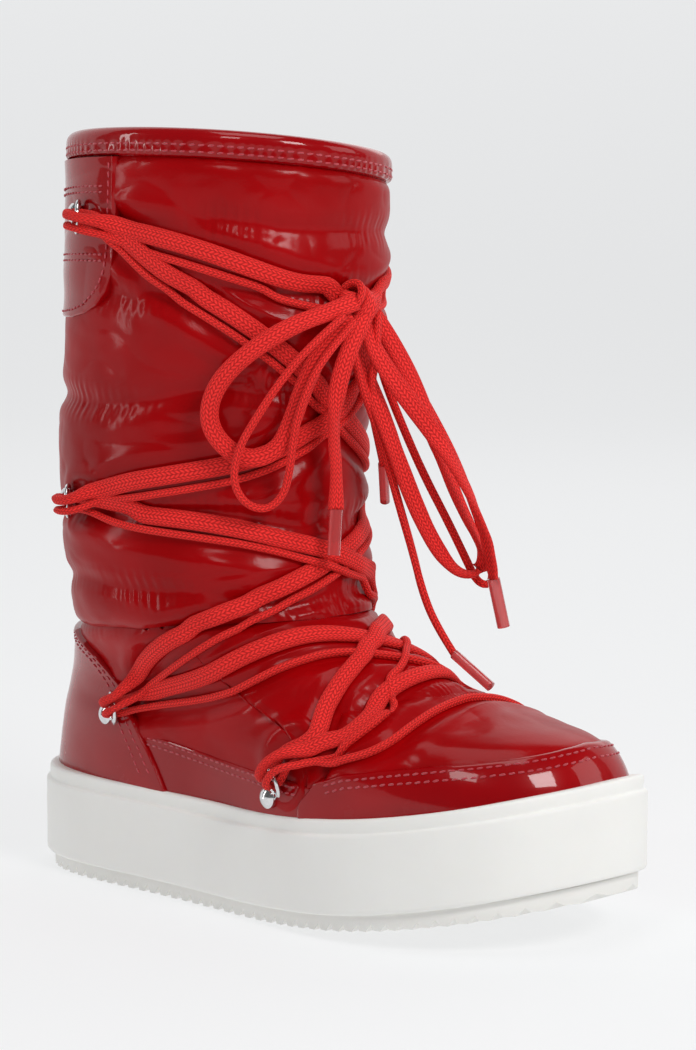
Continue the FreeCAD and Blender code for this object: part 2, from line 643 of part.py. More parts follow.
def hook_parts():
    out = {}
    rivets = []
    for name in RINGS:
        for side, label in ((-1, "outer"), (1, "inner")):
            hook = Hook(name, side)
            flip = hook_frame(hook)[1]
            out["clip_%s_%s" % (name, label)] = placed(clip_shape(flip), hook)
            out["ring_%s_%s" % (name, label)] = placed(ring_shape(flip), hook)
            rivets.append(placed(rivet_shape(flip), hook))
            print("hinge %s %s at %s axis %s" % (name, label, [round(v / 1000, 5) for v in hook.axis],
                                                 [round(v, 5) for v in hook.across]))
    out["rivets"] = Part.makeCompound(rivets)
    return out


def main():
    os.makedirs("parts", exist_ok=True)
    parts = {}
    parts.update(sole_parts())
    parts.update(upper_parts())
    parts.update(cover_parts())
    parts.update(lace_parts())
    parts.update(hook_parts())
    for name, shape in parts.items():
        shape.exportStep("parts/%s.step" % name)
        b = shape.BoundBox
        print("%-18s solids %d valid %s volume %9.0f  x %.1f %.1f y %.1f %.1f z %.1f %.1f"
              % (name, len(shape.Solids), shape.isValid(), shape.Volume,
                 b.XMin, b.XMax, b.YMin, b.YMax, b.ZMin, b.ZMax))


main()
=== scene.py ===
import math
import random
import bpy
import numpy as np
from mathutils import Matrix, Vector, noise
from mathutils.bvhtree import BVHTree
from mathutils.kdtree import KDTree


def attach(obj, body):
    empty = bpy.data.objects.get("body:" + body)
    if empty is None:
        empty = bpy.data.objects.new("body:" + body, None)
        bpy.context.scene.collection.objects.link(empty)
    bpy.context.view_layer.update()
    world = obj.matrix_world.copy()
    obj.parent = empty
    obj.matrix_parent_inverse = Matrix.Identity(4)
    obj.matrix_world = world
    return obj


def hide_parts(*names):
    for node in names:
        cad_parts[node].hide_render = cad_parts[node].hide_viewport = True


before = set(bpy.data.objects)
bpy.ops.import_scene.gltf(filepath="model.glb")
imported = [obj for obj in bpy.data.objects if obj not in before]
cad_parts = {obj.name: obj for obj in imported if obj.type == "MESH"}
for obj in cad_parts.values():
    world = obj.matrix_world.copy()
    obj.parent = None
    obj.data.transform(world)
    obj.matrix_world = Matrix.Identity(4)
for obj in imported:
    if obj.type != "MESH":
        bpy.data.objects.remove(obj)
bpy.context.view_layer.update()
rng = random.Random(7)
MM = 0.001

# ------------------------------------------------------------ shape of the boot, millimetres
HEEL = [(30, -134), (54, -131), (74, -126.5), (90, -121.5), (104, -118), (114, -117.4), (140, -121),
        (178, -122.6), (225, -117.6), (275, -115.6), (310, -115.6)]
FRONT = [(30, 134), (54, 132), (62, 129.5), (69, 126), (73.5, 121), (76.5, 112), (80, 97), (85, 77),
         (89, 64), (94.5, 50), (100, 35.5), (106, 23.5), (114, 14.5), (124, 10.5), (158, 7), (178, 6.2),
         (200, 10), (225, 15.8), (275, 18.6), (310, 19.6)]
HALF_WIDTH = [(30, 49.5), (66, 49), (76, 46.5), (84, 45), (95, 46.5), (105, 49.5), (118, 52.5),
              (140, 53.4), (200, 53.8), (225, 55), (310, 55.8)]
SQUARE_FRONT = [(30, 2.6), (60, 2.5), (70, 2.25), (77, 2), (86, 1.72), (98, 1.75), (110, 1.95),
                (125, 2.06), (310, 2.05)]
SQUARE_BACK = [(30, 2.6), (60, 2.5), (100, 2.15), (125, 2.06), (310, 2.05)]
FOOT_SHARE = [(30, 1), (56, 1), (66, 0.9), (77, 0.72), (90, 0.42), (107, 0.12), (122, 0), (310, 0)]
TOE_SHIFT = [(30, 12), (70, 12), (77, 9.5), (86, 6.5), (96, 4.5), (110, 1.5), (122, 0), (310, 0)]
SOLE_OUTLINE = [(-140, 2), (-134, -19), (-118, -32.5), (-95, -39), (-65, -41), (-25, -44), (20, -50),
                (55, -54), (90, -49), (115, -36), (132, -14), (140, 12), (134, 35), (115, 50),
                (85, 56), (50, 56), (10, 45), (-30, 38), (-75, 39), (-105, 37), (-128, 25)]
OVERLAY = 1.6
SOLE_TOP = 42.0
SOLE_BOTTOM = 6.0
COLLAR_SEAM = 284.0
TOE_SPRING = 21.0        # rise of the sole at the toe tip
SPRING_START = -5.4
SPRING_RUN = 145.4
SPRING_POWER = 1.8
LAST_SPRING = 18.0       # rise of the surface that the foot stands on
LIP_DEPTH = 5.5          # how far the upper goes down behind the sole's lip


def steady(line, at):
    """Level line read at many levels at once, without overshoot."""
    xs = np.array([p[0] for p in line], float)
    ys = np.array([p[1] for p in line], float)
    at = np.asarray(at, float)
    h = np.diff(xs)
    d = np.diff(ys) / h
    m = np.zeros(len(xs))
    m[0] = d[0]
    m[-1] = d[-1]
    for k in range(1, len(xs) - 1):
        if d[k - 1] * d[k] > 0:
            a = 2 * h[k] + h[k - 1]
            b = h[k] + 2 * h[k - 1]
            m[k] = (a + b) / (a / d[k - 1] + b / d[k])
    i = np.clip(np.searchsorted(xs, at) - 1, 0, len(h) - 1)
    t = (at - xs[i]) / h[i]
    keep = 2 * t ** 3 - 3 * t ** 2 + 1
    return (keep * ys[i] + (t ** 3 - 2 * t ** 2 + t) * m[i] * h[i]
            + (1 - keep) * ys[i + 1] + (t ** 3 - t ** 2) * m[i + 1] * h[i])


def ease(t):
    t = np.clip(t, 0.0, 1.0)
    return t * t * (3 - 2 * t)


def skin(level, angle, depth=0.0):
    """Points of the boot's surface. angle is in radians from the toe, positive on the inner side."""
    level = np.asarray(level, float)
    angle = np.asarray(angle, float)
    c = np.cos(angle)
    s = np.sin(angle)
    back = steady(HEEL, level) + depth
    front = steady(FRONT, level) - depth
    if depth > 0:
        front = np.minimum(front, steady(FRONT, level + depth))
    width = steady(HALF_WIDTH, level) - depth
    square = steady(SQUARE_BACK, level)
    square = square + (steady(SQUARE_FRONT, level) - square) * ease(0.5 + c)
    power = 2.0 / square
    x = (front + back) / 2 + (front - back) / 2 * np.sign(c) * np.abs(c) ** power
    outer = (38 + 11.5 * ease((x + 35) / 85)) / 49.5
    inner = (37 + 16.5 * ease((x + 10) / 85) - 5 * np.exp(-((x + 30) / 30) ** 2)) / 49.5
    share = 1 + steady(FOOT_SHARE, level) * (np.where(s < 0, outer, inner) - 1)
    y = width * share * np.sign(s) * np.abs(s) ** power
    y = y + steady(TOE_SHIFT, level) * np.maximum(0.0, c) ** 3
    lean = 0.12 * ease((level - 190) / 100)
    return np.stack(np.broadcast_arrays(x, y, level - lean * y), -1)


def outward(level, angle):
    along = skin(level, angle + 0.02) - skin(level, angle - 0.02)
    up = skin(level + 0.8, angle) - skin(level - 0.8, angle)
    return unit_rows(np.cross(along, up))


def on_boot(level, degrees, lift=0.0):
    a = np.radians(degrees)
    return skin(level, a) + outward(level, a) * np.asarray(lift, float)[..., None]


def spring(x):
    """Share of the toe's rise at a place along the sole."""
    return np.clip((np.asarray(x, float) - SPRING_START) / SPRING_RUN, 0, None) ** SPRING_POWER


def line_at(points, at):
    """Straight-line reading of a line given as points."""
    return np.interp(at, [p[0] for p in points], [p[1] for p in points])


def run_length(line):
    """Distance along a line of points, at each of them."""
    return np.concatenate([[0], np.cumsum(np.linalg.norm(np.diff(line, axis=0), axis=1))])


def along_line(at, far, values):
    """Values given at each point of a line, read at distances along it."""
    return np.stack([np.interp(at, far, values[:, k]) for k in range(3)], -1)


def unit(v):
    return v / np.linalg.norm(v)


def unit_rows(rows):
    return rows / np.linalg.norm(rows, axis=-1, keepdims=True)


# ------------------------------------------------------------ node materials
def new_material(name):
    m = bpy.data.materials.new(name)
    m.use_nodes = True
    return m, m.node_tree, m.node_tree.nodes["Principled BSDF"]


def put(node, socket, value):
    node.inputs[socket].default_value = value


def math_node(tree, operation, a, b=0.0):
    node = tree.nodes.new("ShaderNodeMath")
    node.operation = operation
    for i, value in enumerate((a, b)):
        if isinstance(value, (int, float)):
            node.inputs[i].default_value = value
        else:
            tree.links.new(value, node.inputs[i])
    return node.outputs[0]


def noise_height(tree, scale, detail=4.0, roughness=0.55, distortion=0.0, stretch=(1, 1, 1)):
    place = tree.nodes.new("ShaderNodeTexCoord")
    mapping = tree.nodes.new("ShaderNodeMapping")
    put(mapping, "Scale", stretch)
    tree.links.new(place.outputs["Object"], mapping.inputs["Vector"])
    n = tree.nodes.new("ShaderNodeTexNoise")
    put(n, "Scale", scale)
    put(n, "Detail", detail)
    put(n, "Roughness", roughness)
    put(n, "Distortion", distortion)
    tree.links.new(mapping.outputs[0], n.inputs["Vector"])
    return n.outputs["Fac"]


def bump(tree, height, strength, distance, under=None):
    b = tree.nodes.new("ShaderNodeBump")
    put(b, "Strength", strength)
    put(b, "Distance", distance)
    tree.links.new(height, b.inputs["Height"])
    if under is not None:
        tree.links.new(under, b.inputs["Normal"])
    return b.outputs[0]


def ramp(tree, fac, low, high, colour_low, colour_high):
    r = tree.nodes.new("ShaderNodeValToRGB")
    r.color_ramp.elements[0].position = low
    r.color_ramp.elements[1].position = high
    r.color_ramp.elements[0].color = (*colour_low, 1)
    r.color_ramp.elements[1].color = (*colour_high, 1)
    tree.links.new(fac, r.inputs[0])
    return r.outputs[0]


def spread(tree, fac, low, high):
    m = tree.nodes.new("ShaderNodeMapRange")
    put(m, "To Min", low)
    put(m, "To Max", high)
    tree.links.new(fac, m.inputs["Value"])
    return m.outputs[0]


def red_coat(name, colour, colour_dark, rough, coat, coat_rough, wrinkle, weave, shine):
    """Glossy red skin: puffer nylon or patent cover."""
    m, t, p = new_material(name)
    broad = noise_height(t, 26, 3, 0.5)
    t.links.new(ramp(t, broad, 0.3, 0.75, colour_dark, colour), p.inputs["Base Color"])
    t.links.new(spread(t, noise_height(t, 60, 4, 0.6), rough * 0.75, rough * 1.35), p.inputs["Roughness"])
    put(p, "Coat Weight", coat)
    put(p, "Coat Roughness", coat_rough)
    put(p, "Specular IOR Level", shine)
    wide = bump(t, noise_height(t, 55, 5, 0.55, 0.6), wrinkle, 0.0012)
    fine = bump(t, noise_height(t, 900, 2, 0.5), weave, 0.0001, wide)
    t.links.new(fine, p.inputs["Normal"])
    t.links.new(wide, p.inputs["Coat Normal"])
    return m


def rubber(name, colour, colour_dark, rough):
    m, t, p = new_material(name)
    t.links.new(ramp(t, noise_height(t, 18, 5, 0.6), 0.3, 0.75, colour_dark, colour), p.inputs["Base Color"])
    t.links.new(spread(t, noise_height(t, 140, 3, 0.5), rough * 0.85, rough * 1.2), p.inputs["Roughness"])
    put(p, "Subsurface Weight", 0.06)
    put(p, "Subsurface Radius", (0.004, 0.003, 0.002))
    t.links.new(bump(t, noise_height(t, 700, 3, 0.6), 0.12, 0.0002), p.inputs["Normal"])
    return m


def braid(name, colour, colour_dark, ribs, pitch):
    """Braided lace. U runs along it in metres, V once round it."""
    m, t, p = new_material(name)
    uv = t.nodes.new("ShaderNodeUVMap")
    split = t.nodes.new("ShaderNodeSeparateXYZ")
    t.links.new(uv.outputs[0], split.inputs[0])
    column = math_node(t, "MULTIPLY", split.outputs[1], float(ribs))
    inside = math_node(t, "FRACT", column)
    odd = math_node(t, "MODULO", math_node(t, "FLOOR", column), 2.0)
    sign = math_node(t, "SUBTRACT", math_node(t, "MULTIPLY", odd, 2.0), 1.0)
    slant = math_node(t, "MULTIPLY", math_node(t, "MULTIPLY", inside, sign), 0.75)
    along = math_node(t, "ADD", math_node(t, "DIVIDE", split.outputs[0], pitch), slant)
    wave = math_node(t, "SINE", math_node(t, "MULTIPLY", along, 2 * math.pi))
    wave = math_node(t, "MULTIPLY", math_node(t, "ADD", wave, 1.0), 0.5)
    edge = math_node(t, "SINE", math_node(t, "MULTIPLY", inside, math.pi))
    edge = math_node(t, "POWER", edge, 0.45)
    height = math_node(t, "MULTIPLY", math_node(t, "ADD", math_node(t, "MULTIPLY", wave, 0.7), 0.3), edge)
    # base colour follows the weave's height: painted shade, darker at the sides of each strand and in the
    # hollows between rows
    t.links.new(ramp(t, height, 0.05, 0.75, colour_dark, colour), p.inputs["Base Color"])
    t.links.new(bump(t, height, 0.9, 0.0003), p.inputs["Normal"])
    put(p, "Roughness", 0.72)
    put(p, "Specular IOR Level", 0.2)
    put(p, "Sheen Weight", 0.06)
    put(p, "Sheen Roughness", 0.4)
    put(p, "Sheen Tint", (1.0, 0.45, 0.4, 1))
    return m


def metal(name):
    m, t, p = new_material(name)
    put(p, "Metallic", 1.0)
    t.links.new(ramp(t, noise_height(t, 300, 4), 0.3, 0.8, (0.62, 0.62, 0.63), (0.86, 0.86, 0.87)),
                p.inputs["Base Color"])
    t.links.new(spread(t, noise_height(t, 700, 3, 0.6), 0.1, 0.24), p.inputs["Roughness"])
    t.links.new(bump(t, noise_height(t, 500, 3), 0.12, 0.0001), p.inputs["Normal"])
    return m


def cloth(name, colour, colour_dark, scale, strength):
    m, t, p = new_material(name)
    pile = noise_height(t, scale, 4, 0.7)
    t.links.new(ramp(t, pile, 0.3, 0.7, colour_dark, colour), p.inputs["Base Color"])
    t.links.new(bump(t, pile, strength, 0.0008), p.inputs["Normal"])
    put(p, "Roughness", 0.95)
    put(p, "Sheen Weight", 0.4)
    return m


puffer = red_coat("puffer_nylon", (0.40, 0.0, 0.002), (0.29, 0.0, 0.001), 0.42, 0.25, 0.16, 0.14, 0.25, 0.04)
patent = red_coat("patent_cover", (0.36, 0.0, 0.002), (0.28, 0.0, 0.002), 0.24, 0.6, 0.05, 0.05, 0.05, 0.06)
wall_rubber = rubber("wall_rubber", (0.92, 0.915, 0.885), (0.88, 0.87, 0.84), 0.5)
tread_rubber = rubber("tread_rubber", (0.88, 0.87, 0.84), (0.82, 0.81, 0.775), 0.65)
# each braid's second, dark colour is painted shade for the grooves of its weave
lace_cloth = braid("lace_braid", (0.98, 0.035, 0.03), (0.33, 0.003, 0.003), 20, 0.0019)
thin_cloth = braid("thin_lace_braid", (0.96, 0.033, 0.028), (0.31, 0.003, 0.003), 10, 0.0017)
chrome = metal("polished_metal")
fleece = cloth("fleece", (0.10, 0.012, 0.012), (0.04, 0.004, 0.004), 900, 0.8)
fibre = cloth("fibre_fill", (0.8, 0.8, 0.79), (0.6, 0.6, 0.6), 300, 0.9)
knit = cloth("footbed_knit", (0.07, 0.07, 0.075), (0.03, 0.03, 0.032), 1400, 0.6)
board_fibre = cloth("fibre_board", (0.5, 0.4, 0.27), (0.38, 0.29, 0.19), 500, 0.3)
foam_white = cloth("cell_foam", (0.8, 0.78, 0.74), (0.7, 0.68, 0.63), 700, 0.4)
stitch_thread = cloth("thread", (0.62, 0.05, 0.075), (0.42, 0.02, 0.035), 2500, 0.6)


def aglet_material():
    m, t, p = new_material("clear_red_plastic")
    put(p, "Base Color", (0.75, 0.10, 0.10, 1))
    put(p, "Transmission Weight", 0.55)
    put(p, "Roughness", 0.14)
    t.links.new(bump(t, noise_height(t, 260, 3), 0.12, 0.0003), p.inputs["Normal"])
    put(p, "Coat Weight", 0.6)
    return m


clear_red = aglet_material()


# ------------------------------------------------------------ mesh helpers
def mesh_object(name, verts, faces, material, uvs=None):
    """Smooth mesh in metres from points in millimetres."""
    me = bpy.data.meshes.new(name)
    me.from_pydata([tuple(v) for v in np.asarray(verts, float) * MM], [], faces)
    me.validate()
    me.polygons.foreach_set("use_smooth", [True] * len(me.polygons))
    if uvs is not None:
        layer = me.uv_layers.new(name="UVMap")
        index = np.empty(len(me.loops), np.int64)
        me.loops.foreach_get("vertex_index", index)
        layer.data.foreach_set("uv", np.asarray(uvs, float)[index].ravel())
    me.materials.append(material)
    me.update()
    o = bpy.data.objects.new(name, me)
    bpy.context.collection.objects.link(o)
    return o


def grid_faces(rows, columns, closed):
    faces = []
    last = columns if closed else columns - 1
    for r in range(rows - 1):
        for c in range(last):
            d = (c + 1) % columns
            faces.append((r * columns + c, r * columns + d, (r + 1) * columns + d, (r + 1) * columns + c))
    return faces


def keep(obj, slot, *nodes):
    """The piece stands for its CAD nodes and rides on the boot."""
    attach(obj, "boot")
    if nodes:
        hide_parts(*nodes)
    return obj


# ------------------------------------------------------------ lace hooks, as placed in the solids
# level, degrees from the toe, turn of the pull, cover under the plate, cover under the lace ahead
RINGS = {"top": (262, 112, -8, OVERLAY, OVERLAY), "shaft": (155, 116, 0, 0.0, 0.0),
         "heel": (70.5, 122, 22, OVERLAY, 0.0), "ball": (54.5, 84, 52, OVERLAY, 0.0)}
AXIS_LIFT = 2.4
RING_TILT = 30.0
ARM = 2.5
BOW = 6.0


class Hook:
    """Place and directions of a D-ring's hinge, and of the boot's surface round it."""
    def __init__(self, name, side):
        self.level, degrees, self.turn, self.cover, self.ahead = RINGS[name]
        self.degrees = side * degrees
        self.side = side
        a = math.radians(self.degrees)
        self.out = outward(self.level, a)
        front = on_boot(self.level, self.degrees - side * 3) - on_boot(self.level, self.degrees)
        front = unit(front - self.out * front.dot(self.out))
        up = unit(np.cross(self.out, front) * -side)
        if up[2] < 0:
            up = -up
        t = math.radians(self.turn)
        self.forward = front * math.cos(t) + up * math.sin(t)
        self.across = up * math.cos(t) - front * math.sin(t)
        self.axis = on_boot(self.level, self.degrees, self.cover + 0.05) + self.out * AXIS_LIFT

    def at(self, forward, across, out):
        return self.axis + self.forward * forward + self.across * across + self.out * out

    def bow(self, across):
        reach = ARM + math.sqrt(BOW ** 2 - across ** 2)
        t = math.radians(RING_TILT)
        return reach * math.cos(t), reach * math.sin(t)

    def surface(self, forward, across, lift):
        t = math.radians(self.turn)
        ahead = forward * math.cos(t) - across * math.sin(t)
        rise = forward * math.sin(t) + across * math.cos(t)
        one_degree = on_boot(self.level, self.degrees + 1) - on_boot(self.level, self.degrees - 1)
        girth = np.linalg.norm(one_degree) / 2
        return on_boot(self.level + rise, self.degrees - self.side * ahead / girth, lift)


# ------------------------------------------------------------ lace route, the same points as the solids
OVER = 5.4               # how far a lace is raised where it passes over the other half
VAMP = [(77, 58), (88, 34), (93.5, 0)]
INSTEP = [(72, 72), (86, 49), (97, 26), (104, 1), (108, -24), (102, -52), (90, -84)]
ANKLE = [(92, 104), (104, 82), (114, 58), (124, 31), (136, 1), (147, -30), (152, -60), (154, -86)]
CALF = [(164, 88), (169, 64), (174, 38), (184, 15), (198, -6), (214, -25), (230, -49), (243, -74)]
LAST = [(257, 84), (252, 62), (246, 43), (240, 25)]
TURN_BEND = 4.4          # half the height of a lace's turn round a D-ring


def strand(line, side, drop, lift, over):
    points = []
    for i, (level, degrees) in enumerate(line):
        raised = OVER if over and over[0] <= i < over[1] else 0.0
        points.append(on_boot(level - drop, side * degrees, lift + raised))
    return points


def turn_round(hook, radius, across, outer_first):
    bend = TURN_BEND
    forward, out = hook.bow(across)
    middle = forward + 0.5
    outer = [hook.at(middle + 8.5, across, out + bend - 1.2), hook.at(middle - bend, across, out + bend)]
    under = hook.surface(middle + 8.5, across, hook.ahead + radius + 0.7)
    points = outer + [hook.at(middle - bend, across, out - bend), under]
    return points if outer_first else points[::-1]


def lace_half(s, radius, across, drop, over):
    lift = radius + 1.0
    points = strand(VAMP, s, drop, lift, None)[::-1]
    points += turn_round(Hook("ball", s), radius, across, True)
    points += strand(INSTEP, s, drop, lift, (1, 5) if over else None)
    points += turn_round(Hook("heel", -s), radius, across, False)
    points += strand(ANKLE, -s, drop, lift, (3, 6) if over else None)
    points += turn_round(Hook("shaft", s), radius, across, False)
    points += strand(CALF, s, drop, lift, (3, 6) if over else None)
    points += turn_round(Hook("top", -s), radius, across, False)
    points += strand(LAST, -s, drop, lift, None)
    points.append(on_boot(237 - drop * 0.6, -s * 10 + 2, 8.5))
    points.append(on_boot(236.5 - drop * 0.6, -s * 4 + 2, 9.5))
    return points


def whole_lace(radius, across, drop):
    return lace_half(1, radius, across, drop, False)[::-1] + lace_half(-1, radius, across, drop, True)[1:]


def over_boot(points):
    return [on_boot(*p) for p in points]


LOOSE = {
    "loop_wide_out": over_boot([
        (236, -7, 11), (232, -16, 11), (227, -29, 11), (217, -43, 10.5), (205, -51, 10), (192, -52, 10),
        (181, -46, 10), (175, -37, 10.5), (180, -28, 11.5), (192, -25, 12), (206, -23, 12), (220, -19, 12),
        (230, -8, 10.5)]),
    "loop_thin_out": over_boot([
        (231, -13, 14.5), (222, -23, 15), (210, -31, 15), (197, -36, 15.5), (182, -41, 15.5), (167, -43, 14),
        (158, -39, 12), (156, -32, 11), (162, -26.5, 12), (174, -25, 15), (188, -25, 16), (203, -24, 16.5),
        (218, -20, 16.5), (229, -9, 14)]),
    "tail_wide_out": over_boot([
        (231, -3, 11), (223, -9, 14), (212, -12, 14.5), (199, -12, 14.5), (185, -10, 13.5), (170, -8, 13),
        (155, -9, 13)]),
    "tail_thin_out": over_boot([
        (231, 3, 11), (222, 1, 14), (209, 1, 14.5), (195, 5, 14), (182, 13, 12.5), (170, 22, 10.5)]),
    "loop_wide_in": [
        (22, 2, 233), (21, 0.5, 222), (22, 0.5, 210), (28, 7, 189), (31.5, 14, 168), (35, 21, 150),
        (39, 27, 137), (44, 33, 128.5), (50, 39, 129), (49.5, 40, 139), (43, 34, 156), (37, 28, 178),
        (32, 21.8, 200), (27, 14, 217), (22, 7.5, 230)],
    "loop_thin_in": [
        (20, 7.5, 229), (21.5, 9, 219), (22.5, 12, 206), (26, 18, 189), (31, 26, 168), (37, 34, 149),
        (42, 38.5, 135), (46, 41.5, 124.5), (50.5, 45, 124), (50, 45.5, 133), (45, 42.5, 150),
        (38.5, 38, 172), (30, 30, 194), (23, 21, 213), (18, 13, 229)],
    "tail_wide_in": [
        (24, -3, 232), (27, -1, 221), (31, 3.5, 210), (37, 9, 198.5), (44, 18, 184), (49, 24, 172),
        (54, 30, 157), (57, 35, 141), (58, 36.6, 128)],
    "tail_thin_in": [
        (23, -6, 230), (24, -7, 219), (24, -3.5, 206), (24, 4, 192), (26, 10.5, 174), (28.5, 15, 156),
        (31.5, 19.5, 138), (34.5, 22, 122), (40, 23.5, 109.5), (49, 24, 99)],
}


def centre_line(name, points, spacing=1.6):
    """Points in millimetres along a NURBS curve through the given route."""
    curve = bpy.data.curves.new(name, "CURVE")
    curve.dimensions = "3D"
    spline = curve.splines.new("NURBS")
    spline.points.add(len(points) - 1)
    for i, p in enumerate(points):
        spline.points[i].co = (p[0] * MM, p[1] * MM, p[2] * MM, 1)
    spline.order_u = 3
    spline.use_endpoint_u = True
    spline.resolution_u = 16
    o = bpy.data.objects.new(name, curve)
    bpy.context.collection.objects.link(o)
    me = o.to_mesh()
    line = np.array([v.co for v in me.vertices]) / MM
    o.to_mesh_clear()
    bpy.data.objects.remove(o)
    bpy.data.curves.remove(curve)
    far = run_length(line)
    count = max(8, int(far[-1] / spacing))
    return along_line(np.linspace(0, far[-1], count + 1), far, line)


def tree_of(points):
    tree = KDTree(len(points))
    for i, p in enumerate(points):
        tree.insert(Vector(p), i)
    tree.balance()
    return tree


wide_line = centre_line("lace_wide_route", whole_lace(2.0, 1.6, 0.0))
thin_line = centre_line("lace_thin_route", whole_lace(1.4, -2.9, 6.5))
press = tree_of(np.concatenate([wide_line, thin_line]))

# ------------------------------------------------------------ padded upper
ANKLE_LINE = [(-180, 101.8), (-120, 103.5), (-60, 111), (-30, 113.2), (0, 114), (30, 113.2), (60, 111),
              (120, 103.5), (180, 101.8)]
VAMP_LINE = [(-78, 50), (-76, 55), (-73, 65), (-66, 76), (-52, 83), (-30, 87.5), (0, 89), (30, 87.5),
             (52, 83), (66, 76), (73, 65), (76, 55), (78, 50)]
# quilting seams round the leg: level at the outer side, how it wanders, depth
QUILTS = [(262, 1.5, 0.5), (237, 2.0, 1.0), (198, 3.5, 1.3), (152, 3.0, 1.3), (122, 2.5, 1.0)]


def rounded(distance, width):
    return np.exp(-(distance / width) ** 2)


def puff(level, angle, seams, amount=1.3):
    """Height of the padding over the plain surface: bulges between seams, puckers beside them."""
    degrees = np.degrees(np.arctan2(np.sin(angle), np.cos(angle)))
    height = np.full(level.shape, amount)
    pleat = np.zeros(level.shape)
    for k, (at, depth, width) in enumerate(seams):
        distance = level - at(degrees)
        groove = rounded(distance, width)
        height -= depth * groove
        beat = np.sin(angle * 61 + 5 * np.sin(angle * 7 + k) + k * 2) + 0.7 * np.sin(angle * 97 + k)
        fade = 0.55 + 0.45 * np.sin(angle * 5.0 + 2.1 * k)
        pleat += 0.06 * depth * beat * fade * rounded(np.abs(distance) - width * 0.7, width * 0.8)
    return height + pleat


def wrinkles(points, size, amount, seed):
    """Uneven creases from folded noise."""
    out = np.empty(len(points))
    for i, p in enumerate(points):
        v = Vector((p[0] * 0.8, p[1] * 0.8, p[2] * 1.6)) / size + Vector((seed, seed * 2, 0))
        a = noise.noise(v)
        b = noise.noise(v * 2.3 + Vector((4, 1, 7)))
        out[i] = (1 - abs(a) * 2.2) ** 3 * -0.6 + b * 0.5 + a * 0.6
    return out * amount


def lace_distance(points):
    """How far each point is from the nearest held lace."""
    return np.array([press.find(Vector(p))[2] for p in points])


def quilt_level(level, wander, phase):
    """Level of a quilting seam that wanders as it goes round."""
    def at(degrees):
        a = np.radians(degrees)
        return level + wander * np.sin(a * 2 + phase) + 0.4 * wander * np.sin(a * 5)
    return at


def skin_uv(angle, level, radius=0.055):
    """Metres round the leg, at a plain radius, and metres up it."""
    return np.stack([angle * radius, level * MM], -1).reshape(-1, 2)


PANEL_EDGE = 2.2         # width of the rolled edge of a padded panel


def padded_panel(name, angles, low, high, rows, seams, closed, nodes, amount=1.3, crease=0.42):
    """Padded skin that bulges between its seams and sinks under the laces."""
    a = np.asarray(angles, float)
    t = np.linspace(0, 1, rows)
    lo = low(np.degrees(a))
    hi = high(np.degrees(a))
    level = lo[None, :] + (hi - lo)[None, :] * t[:, None]
    angle = np.broadcast_to(a[None, :], level.shape)
    flat = skin(level, angle)
    out = outward(level, angle)
    height = puff(level, angle, seams, amount)
    rim = np.minimum(level - lo[None, :], hi[None, :] - level)
    height = height - (amount + 0.9) * np.exp(-(rim / PANEL_EDGE) ** 1.3)
    base = (flat + out * 2.0).reshape(-1, 3)
    near = lace_distance(base).reshape(level.shape)
    pinch = np.exp(-(np.clip(near - 2.2, 0, None) / 4.2) ** 2)
    free = 1 - 0.85 * pinch
    height = height + wrinkles(flat.reshape(-1, 3), 22, crease, 3.1).reshape(level.shape) * free
    height = height + 1.0 * np.exp(-((near - 9.5) / 4.0) ** 2) - 1.25 * pinch
    points = flat + out * height[..., None]
    o = mesh_object(name, points.reshape(-1, 3), grid_faces(rows, len(a), closed), puffer,
                    skin_uv(angle, level))
    keep(o, "puffer", *nodes)
    return o


def sole_line(degrees):
    """Level where the upper goes down behind the sole's lip."""
    a = np.radians(degrees)
    level = np.full(np.shape(a), SOLE_TOP)
    for _ in range(6):
        x = skin(level, a)[..., 0]
        level = SOLE_TOP - LIP_DEPTH + TOE_SPRING * spring(x)
    return level


def ankle_at(degrees):
    return line_at(ANKLE_LINE, degrees)


def vamp_at(degrees):
    """Seam between vamp and quarters; behind it the line is below the whole upper."""
    return np.where(np.abs(degrees) < 78, line_at(VAMP_LINE, degrees), 20.0)


def quarter_foot(degrees):
    return np.maximum(sole_line(degrees), vamp_at(degrees))


def collar_at(degrees):
    return np.full(degrees.shape, COLLAR_SEAM)


TURN = np.linspace(-math.pi, math.pi, 521)[:-1]
leg_seams = [(quilt_level(level, wander, i * 1.3), 1.2 + 1.1 * depth, 4.6)
             for i, (level, wander, depth) in enumerate(QUILTS)]
leg = padded_panel("quilted_leg", TURN, ankle_at, collar_at, 230, leg_seams, True, ["shaft_panel"])
# ruffles where the leg is sewn to the foot and the vamp to the quarters
ANKLE_RUFFLE = (ankle_at, 0.9, 3.0)
VAMP_RUFFLE = (vamp_at, 0.9, 3.0)
quarter = padded_panel("padded_quarter", TURN, quarter_foot, ankle_at, 110, [ANKLE_RUFFLE, VAMP_RUFFLE], True,
                       ["quarter_panel"], amount=1.1)
front_angles = np.radians(np.linspace(-77, 77, 300))
vamp = padded_panel("padded_vamp", front_angles, sole_line, vamp_at, 120, [VAMP_RUFFLE], False,
                    ["vamp_panel"], amount=0.9, crease=0.3)

# ------------------------------------------------------------ patent covers, collar and back strip
COVER_ROLL = 1.2         # radius of a cover's rounded edge
COVER_SINK = 1.4         # how far that edge goes into the padding


